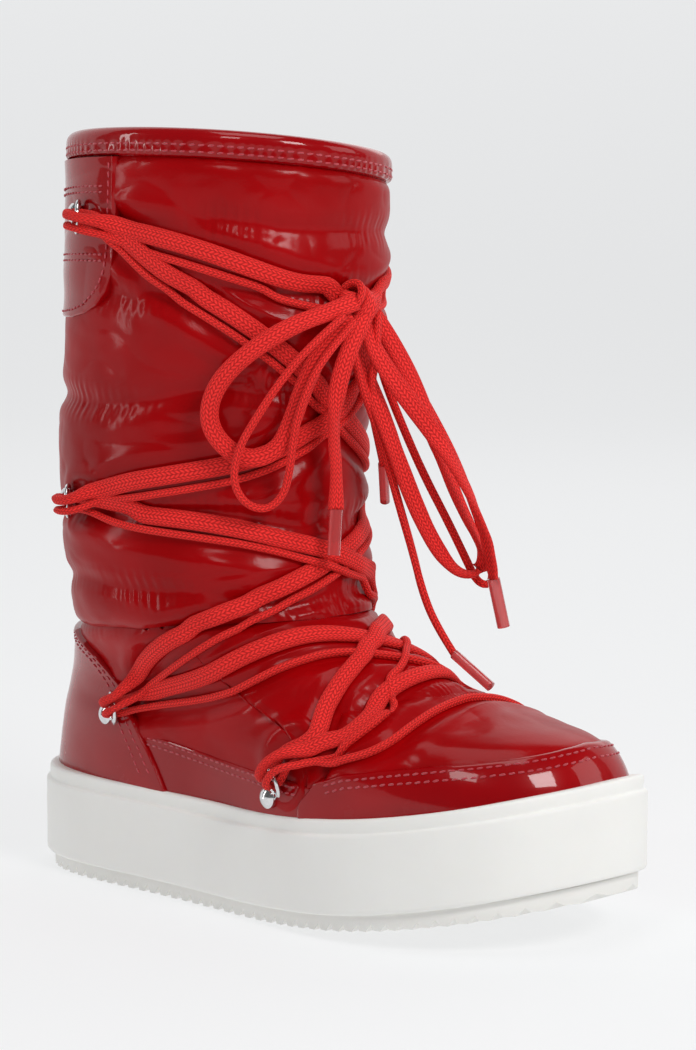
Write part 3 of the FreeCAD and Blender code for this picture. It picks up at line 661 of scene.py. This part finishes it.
def cover(name, angles, low, high, rows, lift, nodes, round_ends=True, roll_low=False, roll_high=True,
          crease=0.12):
    """Patent cover with rounded edges that lies on the padding."""
    a = np.asarray(angles, float)
    lo = low(np.degrees(a))
    hi = high(np.degrees(a))
    edge_steps = np.array([0.0, 0.12, 0.35, 0.7, COVER_ROLL])
    tall = np.maximum(hi - lo, 0.05)
    t = np.linspace(0, 1, rows)
    first = edge_steps[:, None] / tall[None, :] if roll_low else np.zeros((0, len(a)))
    last = 1 - edge_steps[::-1, None] / tall[None, :] if roll_high else np.zeros((0, len(a)))
    middle = t[:, None] * np.ones((1, len(a)))
    start = (1.6 / tall) if roll_low else np.zeros(len(a))
    stop = 1 - (1.6 / tall if roll_high else np.zeros(len(a)))
    stop = np.maximum(stop, start)
    middle = start + (stop - start) * middle
    share = np.clip(np.concatenate([first, middle, last]), 0, 1)
    level = lo + (hi - lo) * share
    angle = np.broadcast_to(a[None, :], level.shape)
    flat = skin(level, angle)
    out = outward(level, angle)
    rim = np.full(level.shape, 9.0)
    if roll_low:
        rim = np.minimum(rim, level - lo)
    if roll_high:
        rim = np.minimum(rim, hi - level)
    if round_ends:
        arc = a * 52
        rim = np.minimum(rim, (arc - arc[0])[None, :])
        rim = np.minimum(rim, (arc[-1] - arc)[None, :])
    rise = np.sqrt(np.clip(1 - (1 - np.clip(rim / COVER_ROLL, 0, 1)) ** 2, 0, 1))
    height = -COVER_SINK + (lift + COVER_SINK) * rise
    height = height + wrinkles(flat.reshape(-1, 3), 34, crease, 9.4).reshape(level.shape) * rise
    points = flat + out * height[..., None]
    o = mesh_object(name, points.reshape(-1, 3), grid_faces(len(share), len(a), False), patent,
                    skin_uv(angle, level))
    return keep(o, "patent", *nodes)


def from_toe(degrees):
    """Degrees from the toe, 0 to 180, for an angle that may run on past the heel."""
    d = np.abs(degrees)
    return np.where(d > 180, 360 - d, d)


def counter_at(degrees):
    return line_at(COUNTER_LINE, from_toe(degrees))


def counter_foot(degrees):
    return np.minimum(sole_line(degrees), counter_at(degrees) - 0.1)


def cap_at(degrees):
    return line_at(CAP_LINE, np.abs(degrees))


def cap_foot(degrees):
    return np.minimum(sole_line(degrees), cap_at(degrees) - 0.1)


def rand_at(degrees):
    return line_at(RAND_LINE, np.abs(degrees))


def strip_at(degrees):
    return line_at(STRIP_LINE, from_toe(degrees))


def strip_top(degrees):
    return np.full(degrees.shape, COLLAR_SEAM - 0.4)


def angle_runs(*parts):
    """Angles in radians from (first, last, count) runs in degrees."""
    return np.radians(np.concatenate([np.linspace(*part) for part in parts]))


COUNTER_LINE = [(100, 36), (104.9, 42.8), (108, 52), (111, 59), (114, 66), (117, 71.5), (117.6, 77),
                (118.4, 82.7), (121, 88), (125, 92.5), (133, 96.5), (145, 100), (160, 101), (180, 101.4)]
CAP_LINE = [(0, 73.8), (11, 73), (32, 70.3), (48, 68), (60, 65.6), (70, 62.6), (76, 58.5), (79, 51),
            (81, 42)]
heel_angles = angle_runs((103.5, 122, 90), (122.5, 237.5, 190), (238, 256.5, 90))
counter = cover("heel_counter_patent", heel_angles, counter_foot, counter_at, 70, 3.0, ["heel_counter"])
cap_angles = angle_runs((-80.5, -66, 70), (-65.6, 65.6, 260), (66, 80.5, 70))
toe_cap = cover("toe_cap_patent", cap_angles, cap_foot, cap_at, 60, 2.6, ["toe_cap"])
RAND_LINE = [(76, 56.4), (79, 56.8), (85, 57), (94, 59.6), (105, 62.8), (112, 64.2), (119, 65)]
for label, sign in (("outer", -1), ("inner", 1)):
    angles = np.radians(np.linspace(76, 118, 160)) * sign
    cover("rand_%s_patent" % label, np.sort(angles), sole_line, rand_at, 40, 1.7, ["rand_" + label],
          round_ends=False)
STRIP_LINE = [(93.6, 275), (94.5, 250), (95.4, 241), (98, 235), (103, 230), (111, 226.8), (122, 225),
              (180, 224.5)]
strip_angles = angle_runs((93.6, 104, 60), (104.5, 255.5, 260), (256, 266.4, 60))
strip = cover("back_strip_patent", strip_angles, strip_at, strip_top, 110, 2.4, ["back_strip"],
              roll_low=True, roll_high=False, crease=0.5)

# collar: rolled band round the top, sewn down inside; height over the seam, distance out from the skin
COLLAR_ROLL = [(-0.4, -1.2), (0.0, 0.4), (0.5, 1.2), (1.6, 1.7), (3.2, 1.5), (4.8, 1.6), (6.8, 1.7),
               (8.4, 1.4), (9.6, 0.6), (10.5, -0.6), (10.8, -2.0), (10.6, -3.6), (9.9, -4.8), (8.6, -5.6),
               (5.0, -6.0), (1.0, -6.2)]
rows = []
for up, out_by in COLLAR_ROLL:
    level = np.full(len(TURN), COLLAR_SEAM + up)
    wave = 0.25 * np.sin(TURN * 83 + 4 * np.sin(TURN * 9)) * math.exp(-((up - 1.5) / 3.0) ** 2)
    rows.append(skin(level, TURN) + outward(level, TURN) * (out_by + wave)[:, None])
collar_up = np.array([p[0] for p in COLLAR_ROLL])
uv = skin_uv(*np.broadcast_arrays(TURN[None, :], collar_up[:, None]))
collar = mesh_object("collar_roll", np.concatenate(rows), grid_faces(len(rows), len(TURN), True), patent, uv)
keep(collar, "patent", "collar_band")
smoother = collar.modifiers.new("round", "SUBSURF")
smoother.levels = 1
smoother.render_levels = 1

# lining, padding and footbed, seen down the leg
def inside_skin(name, depth, low, high, rows, material, slot, nodes, amount):
    angle = np.broadcast_to(TURN[None, :], (rows, len(TURN)))
    lo = low(np.degrees(TURN))
    level = lo + (high - lo) * np.linspace(0, 1, rows)[:, None]
    flat = skin(level, angle, depth)
    out = outward(level, angle)
    points = flat + out * wrinkles(flat.reshape(-1, 3), 26, amount, 5.5).reshape(level.shape)[..., None]
    o = mesh_object(name, points.reshape(-1, 3), grid_faces(rows, len(TURN), True), material,
                    skin_uv(angle, level, 0.05))
    return keep(o, slot, *nodes)


def floor_level(degrees):
    return sole_line(degrees) - 1.5


inside_skin("fleece_lining", 6.6, floor_level, 293.0, 210, fleece, "lining", ["lining_foot", "lining_shaft"],
            0.5)
filling = inside_skin("fibre_padding", 4.2, floor_level, 290.0, 120, fibre, "wadding",
                      ["wadding_foot", "wadding_shaft"], 0.6)
FOOTBED_TOP = 39.6
FOOTBED_THICK = 4.0
rim_of_bed = skin(np.full(len(TURN), 46.0), TURN, 7.6)
middle = np.array([-2.0, 2.0, 0.0])
bed_rows = []
for share in np.linspace(0.02, 1, 26):
    flat = middle + (rim_of_bed - middle) * share
    dish = 1.8 * share ** 4 * ease((-flat[:, 0] + 20) / 60)
    flat[:, 2] = FOOTBED_TOP + LAST_SPRING * spring(flat[:, 0]) + dish
    bed_rows.append(flat)
drop = bed_rows[-1].copy()
drop[:, 2] -= FOOTBED_THICK
bed_rows.append(drop)
bed = np.concatenate(bed_rows)
footbed = mesh_object("footbed_knit_top", bed, grid_faces(len(bed_rows), len(TURN), True), knit,
                      np.stack([bed[:, 0] * MM, bed[:, 1] * MM], -1))
keep(footbed, "footbed_foam", "footbed")

# ------------------------------------------------------------ sole wall
def smooth_loop(points, count):
    """Closed cubic curve through listed points."""
    p = np.array(points, float)
    n = len(p)
    step = np.linalg.norm(np.roll(p, -1, 0) - p, axis=1)
    matrix = np.zeros((n, n))
    right = np.zeros((n, 2))
    for i in range(n):
        before = step[i - 1]
        after = step[i]
        matrix[i, i - 1] = after
        matrix[i, i] = 2 * (before + after)
        matrix[i, (i + 1) % n] = before
        forward = (p[(i + 1) % n] - p[i]) / after
        back = (p[i] - p[i - 1]) / before
        right[i] = 3 * (after * back + before * forward)
    slope = np.linalg.solve(matrix, right)
    out = []
    knots = np.concatenate([[0], np.cumsum(step)])
    for s in np.linspace(0, knots[-1], count, endpoint=False):
        i = min(int(np.searchsorted(knots, s, side="right")) - 1, n - 1)
        h = step[i]
        t = (s - knots[i]) / h
        j = (i + 1) % n
        keep0 = 2 * t ** 3 - 3 * t ** 2 + 1
        out.append(keep0 * p[i] + (t ** 3 - 2 * t ** 2 + t) * h * slope[i] + (1 - keep0) * p[j]
                   + (t ** 3 - t ** 2) * h * slope[j])
    out = np.array(out)
    way = np.roll(out, -1, 0) - np.roll(out, 1, 0)
    way /= np.linalg.norm(way, axis=1, keepdims=True)
    return out, np.stack([-way[:, 1], way[:, 0]], 1)


loop, inward = smooth_loop(SOLE_OUTLINE, 700)
# inset from the outline, share of the wall's height, millimetres added
WALL_PROFILE = [(4.4, 0, 0.0), (1.6, 0, 0.0), (0.6, 0, 0.25), (0.1, 0, 1.0), (0.0, 0, 2.2), (0.0, 0.3, 0.0),
                (-0.1, 0.6, 0.0), (0.0, 1, -7.2), (0.1, 1, -6.3), (0.5, 1, -5.8), (1.2, 1, -5.5),
                (1.5, 1, -5.2), (1.5, 1, -4.6), (1.4, 1, -3.0), (1.45, 1, -1.3), (1.7, 1, -0.55),
                (2.3, 1, -0.1), (3.2, 1, 0.0), (5.0, 1, -0.15), (11.0, 1, -0.9)]
tall = SOLE_TOP - SOLE_BOTTOM
rows = []
for inset, share, extra in WALL_PROFILE:
    flat = loop + inward * inset
    rise = TOE_SPRING * spring(loop[:, 0] - inset * 0.3)
    z = SOLE_BOTTOM + tall * share + extra + rise
    rows.append(np.column_stack([flat, z]))
wall = mesh_object("sole_wall", np.concatenate(rows), grid_faces(len(rows), len(loop), True), wall_rubber)
keep(wall, "wall_rubber", "sidewall_cup")
wall.data.flip_normals()

# ------------------------------------------------------------ stitches
STITCH_WIDTH = 0.75
STITCH_TALL = 0.6
THREAD_SIDES = 6


def capsule(across, tall, long, around=THREAD_SIDES):
    """Small thread hump: rings of points along its length, closed at both ends."""
    points = []
    stations = [(-0.5, 0.25), (-0.42, 0.75), (-0.25, 1.0), (0.25, 1.0), (0.42, 0.75), (0.5, 0.25)]
    for at, size in stations:
        for k in range(around):
            t = 2 * math.pi * k / around
            points.append((at * long, math.cos(t) * across / 2 * size, math.sin(t) * tall / 2 * size))
    faces = []
    for r in range(len(stations) - 1):
        for k in range(around):
            j = (k + 1) % around
            faces.append((r * around + k, r * around + j, (r + 1) * around + j, (r + 1) * around + k))
    faces.append(tuple(range(around))[::-1])
    faces.append(tuple(range((len(stations) - 1) * around, len(stations) * around)))
    return np.array(points), faces


def stitch_row(name, route, lift, length=2.3, gap=1.1):
    """Row of stitches along (level, degrees) points on the boot."""
    route = np.array(route, float)
    steps = np.linspace(0, len(route) - 1, len(route) * 24)
    level = np.interp(steps, range(len(route)), route[:, 0])
    degrees = np.interp(steps, range(len(route)), route[:, 1])
    line = on_boot(level, degrees, lift)
    way = outward(level, np.radians(degrees))
    far = run_length(line)
    count = max(1, int(far[-1] / (length + gap)))
    pitch = far[-1] / count
    shape, faces = capsule(STITCH_WIDTH, STITCH_TALL, length)
    verts = []
    polys = []
    for i in range(count):
        at = (i + 0.5) * pitch
        middle = along_line(at, far, line)
        ahead = along_line(at + 0.8, far, line)
        out = unit(along_line(at, far, way))
        x = unit(ahead - middle) if np.linalg.norm(ahead - middle) > 1e-6 else np.array([1.0, 0, 0])
        y = unit(np.cross(out, x))
        slant = math.radians(rng.uniform(2, 9))
        x, y = x * math.cos(slant) + y * math.sin(slant), y * math.cos(slant) - x * math.sin(slant)
        z = np.cross(x, y)
        base = len(verts)
        for v in shape:
            verts.append(middle + x * v[0] + y * v[1] + z * (v[2] + 0.05))
        polys += [tuple(base + k for k in f) for f in faces]
    o = mesh_object(name, verts, polys, stitch_thread)
    return keep(o, "lace")


def edge_row(line, inset, degrees, sign):
    """Points (level, degrees) at a distance below a given top edge."""
    return [(line_at(line, d) - inset, sign * d) for d in degrees]


COUNTER_FRONT = [(48, 106.4), (59, 111), (66, 114), (71.5, 117), (77, 117.6), (82.7, 118.4), (88, 121),
                 (92.0, 125)]
STRIP_EDGE = [(282, 96.2), (250, 97.2), (243, 98.4), (238, 101), (234, 105), (230.5, 111), (228.4, 120),
              (227.4, 132), (227, 180)]
DOUBLE_ROW = (2.4, 5.0)
for sign, label in ((-1, "outer"), (1, "inner")):
    for n, inset in enumerate(DOUBLE_ROW):
        cap_run = edge_row(CAP_LINE, inset, np.linspace(0.4, 74, 18), sign)
        stitch_row("toe_cap_stitch_%s_%d" % (label, n), cap_run, 2.65)
        counter_run = edge_row(COUNTER_LINE, inset, np.linspace(128, 180, 14), sign)
        stitch_row("counter_stitch_%s_%d" % (label, n), counter_run, 3.0)
        front_run = [(level - inset * 0.25, sign * (d + inset * 1.05)) for level, d in COUNTER_FRONT]
        stitch_row("counter_front_stitch_%s_%d" % (label, n), front_run, 3.0)
        rand_run = edge_row(RAND_LINE, inset - 0.4, np.linspace(80, 113, 10), sign)
        stitch_row("rand_stitch_%s_%d" % (label, n), rand_run, 1.75)
        if n == 0:
            strip_run = [(level, sign * d) for level, d in STRIP_EDGE]
            stitch_row("strip_edge_stitch_" + label, strip_run, 2.45)
        for up, place in (("high", 272.8), ("low", 248.4)):
            across = [(place - n * 2.2, sign * d) for d in np.linspace(99, 180, 18)]
            stitch_row("strip_%s_stitch_%s_%d" % (up, label, n), across, 2.45)
for n, up in enumerate((2.0, 4.6)):
    run = [(COLLAR_SEAM + up, d) for d in np.linspace(-180, 180, 60)]
    stitch_row("collar_stitch_%d" % n, run, 1.55, length=2.6, gap=1.2)

# ------------------------------------------------------------ laces
panels = [leg, quarter, vamp, strip, counter, toe_cap]
trees = []
for o in panels:
    co = np.empty(len(o.data.vertices) * 3)
    o.data.vertices.foreach_get("co", co)
    faces = [tuple(f.vertices) for f in o.data.polygons]
    trees.append(BVHTree.FromPolygons([Vector(v) for v in co.reshape(-1, 3)], faces))


BOOT_AXIS = -0.05        # where the leg's middle stands, metres along X


def surface_near(point):
    """Closest place on the padding and covers, in millimetres, and its outward normal."""
    best = None
    for tree in trees:
        place, normal, _, distance = tree.find_nearest(Vector(point * MM))
        if place is None:
            continue
        out = np.array(place) - np.array([BOOT_AXIS, 0, place.z])
        if np.dot(np.array(normal), out) < 0:
            normal = -normal
        if best is None or distance < best[2]:
            best = (np.array(place) / MM, np.array(normal), distance)
    return best[0], best[1]


def oval(around):
    """Section of a woven lace, one unit across: rounded edges, nearly flat faces."""
    out = []
    for k in range(around):
        t = 2 * math.pi * k / around
        c = math.cos(t)
        s = math.sin(t)
        out.append((0.5 * math.copysign(abs(c) ** 0.8, c), 0.5 * math.copysign(abs(s) ** 0.7, s)))
    return out


LACE_SIDES = 20


def ribbon(name, line, ups, width, thick, material, nodes=(), around=LACE_SIDES):
    """Lace swept along a line; ups are the directions its flat face looks to."""
    n = len(line)
    way = unit_rows(np.gradient(line, axis=0))
    shape = oval(around)
    verts = []
    uvs = []
    far = run_length(line)
    for i in range(n):
        up = unit(ups[i] - way[i] * way[i].dot(ups[i]))
        side = np.cross(way[i], up)
        for k, (a, b) in enumerate(shape):
            verts.append(line[i] + side * a * width[i] + up * b * thick[i])
            uvs.append((far[i] * MM, k / around))
    faces = []
    for i in range(n - 1):
        for k in range(around):
            j = (k + 1) % around
            faces.append((i * around + k, i * around + j, (i + 1) * around + j, (i + 1) * around + k))
    faces.append(tuple(range(around))[::-1])
    faces.append(tuple(range((n - 1) * around, n * around)))
    o = mesh_object(name, verts, faces, material, uvs)
    fix_seam(o)
    return keep(o, "lace", *nodes)


def fix_seam(o):
    """The last column of faces reads V from its own side of the seam."""
    layer = o.data.uv_layers[0].data
    for f in o.data.polygons:
        if len(f.vertices) != 4:
            continue
        vs = [layer[k].uv[1] for k in f.loop_indices]
        if max(vs) - min(vs) > 0.5:
            for k in f.loop_indices:
                if layer[k].uv[1] < 0.5:
                    layer[k].uv[1] += 1.0


def smooth_rows(values, passes):
    v = np.array(values, float)
    for _ in range(passes):
        v[1:-1] = 0.25 * v[:-2] + 0.5 * v[1:-1] + 0.25 * v[2:]
    return v


hooks = [Hook(name, side) for name in RINGS for side in (-1, 1)]


def split_at(line, point):
    return int(np.argmin(np.linalg.norm(line - point, axis=1)))


SPLIT_MARGIN = 16        # points left out each side of the middle of a lace
wide_split = split_at(wide_line, on_boot(93.5, 0, 3.0))
thin_split = split_at(thin_line, on_boot(87.0, 0, 2.4))
under_half = tree_of(np.concatenate([wide_line[:wide_split - SPLIT_MARGIN],
                                     thin_line[:thin_split - SPLIT_MARGIN]]))
WIDE_LACE = 7.3
WIDE_DEEP = 3.2
THIN_LACE = 3.0
FREE_REACH = 25          # a lace leaves the padding this near to a ring's hinge
FREE_FADE = 8.0
CROSS_RISE = 3.3         # how far a lace rises over one that it crosses


def lace_run(name, line, split, width, thick, gathered, material, nodes):
    """The whole held lace: the under half, then the half that passes over the first."""
    line = np.array(line)
    out = np.empty_like(line)
    ups = np.empty_like(line)
    free = np.zeros(len(line))
    for i, p in enumerate(line):
        near = min(hooks, key=lambda h: np.linalg.norm(h.axis - p))
        distance = np.linalg.norm(near.axis - p)
        place, normal = surface_near(p)
        loose = float(ease((FREE_REACH - distance) / FREE_FADE))
        lift = thick / 2 - 0.15
        if i > split + SPLIT_MARGIN:
            gap = under_half.find(Vector(p))[2]
            lift += CROSS_RISE * math.exp(-(max(gap - 2.5, 0) / 3.6) ** 2) * (1 - loose)
        laid = place + normal * lift
        out[i] = p * loose + laid * (1 - loose)
        ups[i] = normal
        free[i] = loose
    ups = unit_rows(smooth_rows(ups, 10))
    out = out * free[:, None] + smooth_rows(out, 5) * (1 - free[:, None])
    free = smooth_rows(free[:, None], 4)[:, 0]
    wide = width * (1 - free) + gathered * free
    deep = thick * (1 - free) + gathered * free
    return ribbon(name, out, ups, wide, deep, material, nodes)


lace_run("lace_wide_band", wide_line, wide_split, WIDE_LACE, WIDE_DEEP, 3.7, lace_cloth, ["lace_wide"])
lace_run("lace_thin_cord", thin_line, thin_split, THIN_LACE, THIN_LACE, 2.7, thin_cloth, ["lace_thin"])


def free_lace(name, wide):
    line = centre_line(name + "_route", LOOSE[name], 1.2)
    ups = smooth_rows([surface_near(p)[1] for p in line], 12)
    turn = np.linspace(0, 1, len(line))
    way = unit_rows(np.gradient(line, axis=0))
    for i in range(len(line)):
        side = np.cross(way[i], ups[i])
        t = 0.45 * math.sin(turn[i] * 6.0 + len(name))
        ups[i] = ups[i] * math.cos(t) + side * math.sin(t)
    width = WIDE_LACE if wide else THIN_LACE
    deep = WIDE_DEEP - 0.6 if wide else THIN_LACE
    material = lace_cloth if wide else thin_cloth
    n = len(line)
    o = ribbon(name + "_band", line, ups, np.full(n, width), np.full(n, deep), material, [name])
    return o


for side_name in ("out", "in"):
    free_lace("loop_wide_" + side_name, True)
    free_lace("loop_thin_" + side_name, False)
    free_lace("tail_wide_" + side_name, True)
    free_lace("tail_thin_" + side_name, False)

# knot: bands of both laces wound round the crossing
knot_out = outward(233.5, math.radians(-2.0))
knot_side = unit(on_boot(233.5, -4.0) - on_boot(233.5, 0.0))
knot_up = unit(np.cross(knot_side, knot_out))
if knot_up[2] < 0:
    knot_up = -knot_up
knot_middle = on_boot(233.5, -2.0, 6.0)


def knot_band(name, lean, shift, reach, deep_by, width, thick, material, nodes=()):
    t = math.radians(lean)
    run = knot_side * math.cos(t) + knot_up * math.sin(t)
    beside = np.cross(knot_out, run)
    line = []
    ups = []
    for s in np.linspace(-150, 150, 46):
        a = math.radians(s)
        line.append(knot_middle + beside * (shift + 1.2 * math.sin(a)) + run * reach * math.sin(a)
                    + knot_out * deep_by * math.cos(a))
        ups.append(run * math.sin(a) + knot_out * math.cos(a))
    n = len(line)
    return ribbon(name, np.array(line), np.array(ups), np.full(n, width), np.full(n, thick), material, nodes)


knot_band("knot_front_band", 128, 0.0, 6.2, 6.0, 8.0, 2.8, lace_cloth, ["lace_knot"])
knot_band("knot_thin_band", 128, 6.2, 5.6, 5.6, 3.0, 3.0, thin_cloth)
knot_band("knot_cross_band", 18, -1.5, 9.0, 2.8, 6.6, 2.8, lace_cloth)
knot_band("knot_low_band", 32, 3.4, 8.5, 1.8, 3.0, 3.0, thin_cloth)

# ------------------------------------------------------------ finishes on the solids that stay shown
FINISH = {"midsole_core": foam_white, "outsole": tread_rubber, "shank": chrome, "insole_board": board_fibre,
          "heel_stiffener": board_fibre, "toe_puff": board_fibre, "rivets": chrome}
for name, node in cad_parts.items():
    finish = FINISH.get(name)
    if name.startswith(("clip_", "ring_")):
        finish = chrome
    if name.startswith("aglet_"):
        finish = clear_red
    if finish is not None:
        node.data.materials.clear()
        node.data.materials.append(finish)

# ------------------------------------------------------------ studio
PAPER_GREY = 0.26
PAPER_GLOW = (0.65, 0.78)    # at the floor, and at PAPER_GLOW_TOP and above
PAPER_GLOW_TOP = 1.2


def paper():
    """Pale studio paper with a faint glow that grows with height."""
    m, t, p = new_material("paper")
    put(p, "Base Color", (PAPER_GREY, PAPER_GREY, PAPER_GREY, 1))
    put(p, "Roughness", 1.0)
    put(p, "Emission Color", (0.98, 0.99, 1, 1))
    place = t.nodes.new("ShaderNodeTexCoord")
    split = t.nodes.new("ShaderNodeSeparateXYZ")
    t.links.new(place.outputs["Object"], split.inputs[0])
    climb = t.nodes.new("ShaderNodeMapRange")
    put(climb, "From Max", PAPER_GLOW_TOP)
    put(climb, "To Min", PAPER_GLOW[0])
    put(climb, "To Max", PAPER_GLOW[1])
    t.links.new(split.outputs[2], climb.inputs["Value"])
    t.links.new(climb.outputs[0], p.inputs["Emission Strength"])
    return m


def sweep_profile(share):
    """Reach behind the boot and height, in metres: flat floor, quarter round, wall."""
    if share < 0.4:
        return -12.0 + 14.0 * share / 0.4, 0.0
    if share < 0.7:
        t = (share - 0.4) / 0.3 * math.pi / 2
        return 2.0 + 1.0 * math.sin(t), 1.0 * (1 - math.cos(t))
    return 3.0, 1.0 + 4.0 * (share - 0.7) / 0.3


def away_from(azimuth, elevation):
    """Direction from the boot to a place at these degrees, 0 in front of -Y, turning towards +X."""
    a = math.radians(azimuth)
    e = math.radians(elevation)
    return Vector((math.sin(a) * math.cos(e), -math.cos(a) * math.cos(e), math.sin(e)))


CAMERA_AZIMUTH = 42.34
CAMERA_ELEVATION = 5.81
CAMERA_DISTANCE = 1.3
CAMERA_AIM = 0.160
SWEEP_ROWS = 40
SWEEP_HALF_WIDTH = 9.0
back_angle = math.radians(CAMERA_AZIMUTH)
away = np.array([-math.sin(back_angle), math.cos(back_angle)])
side_way = np.array([math.cos(back_angle), math.sin(back_angle)])
floor_rows = []
for share in np.linspace(0, 1, SWEEP_ROWS):
    reach, height = sweep_profile(share)
    for u in (-SWEEP_HALF_WIDTH, SWEEP_HALF_WIDTH):
        spot = away * reach + side_way * u
        floor_rows.append((spot[0] / MM, spot[1] / MM, height / MM))
sweep = mesh_object("studio_sweep", floor_rows, grid_faces(SWEEP_ROWS, 2, False), paper())


LIGHT_AIM = 0.15
# name, azimuth, elevation, distance, width, height, power
LIGHTS = [("key_softbox", 76, 34, 1.7, 0.5, 0.5, 12),
          ("left_strip", -46, 16, 1.4, 0.10, 0.9, 2.4),
          ("front_fill", 24, 36, 1.8, 0.4, 0.4, 3.4),
          ("right_fill", 125, 25, 1.7, 0.8, 0.8, 4),
          ("top_box", 42, 78, 1.7, 0.9, 0.9, 7),
          ("back_fill", 200, 35, 2.0, 1.2, 1.2, 4)]
for name, azimuth, elevation, distance, width, height, power in LIGHTS:
    back = away_from(azimuth, elevation)
    light = bpy.data.lights.new(name, "AREA")
    light.shape = "RECTANGLE"
    light.size = width
    light.size_y = height
    light.energy = power
    o = bpy.data.objects.new(name, light)
    o.location = Vector((0, 0, LIGHT_AIM)) + back * distance
    o.rotation_euler = back.to_track_quat("Z", "Y").to_euler()
    bpy.context.collection.objects.link(o)
world = bpy.data.worlds.new("studio")
world.use_nodes = True
world.node_tree.nodes["Background"].inputs["Color"].default_value = (1, 1, 1, 1)
world.node_tree.nodes["Background"].inputs["Strength"].default_value = 0.12
bpy.context.scene.world = world
bpy.context.scene.view_settings.view_transform = "Standard"
bpy.context.scene.view_settings.look = "None"

camera = bpy.data.cameras.new("camera")
camera.sensor_width = 36
camera.lens = 114.67
camera.shift_x = 0.02805
camera.shift_y = -0.03056
camera.clip_start = 0.05
camera.clip_end = 50
back = away_from(CAMERA_AZIMUTH, CAMERA_ELEVATION)
eye = bpy.data.objects.new("camera", camera)
eye.location = Vector((0, 0, CAMERA_AIM)) + back * CAMERA_DISTANCE
eye.rotation_euler = back.to_track_quat("Z", "Y").to_euler()
bpy.context.collection.objects.link(eye)
bpy.context.scene.camera = eye
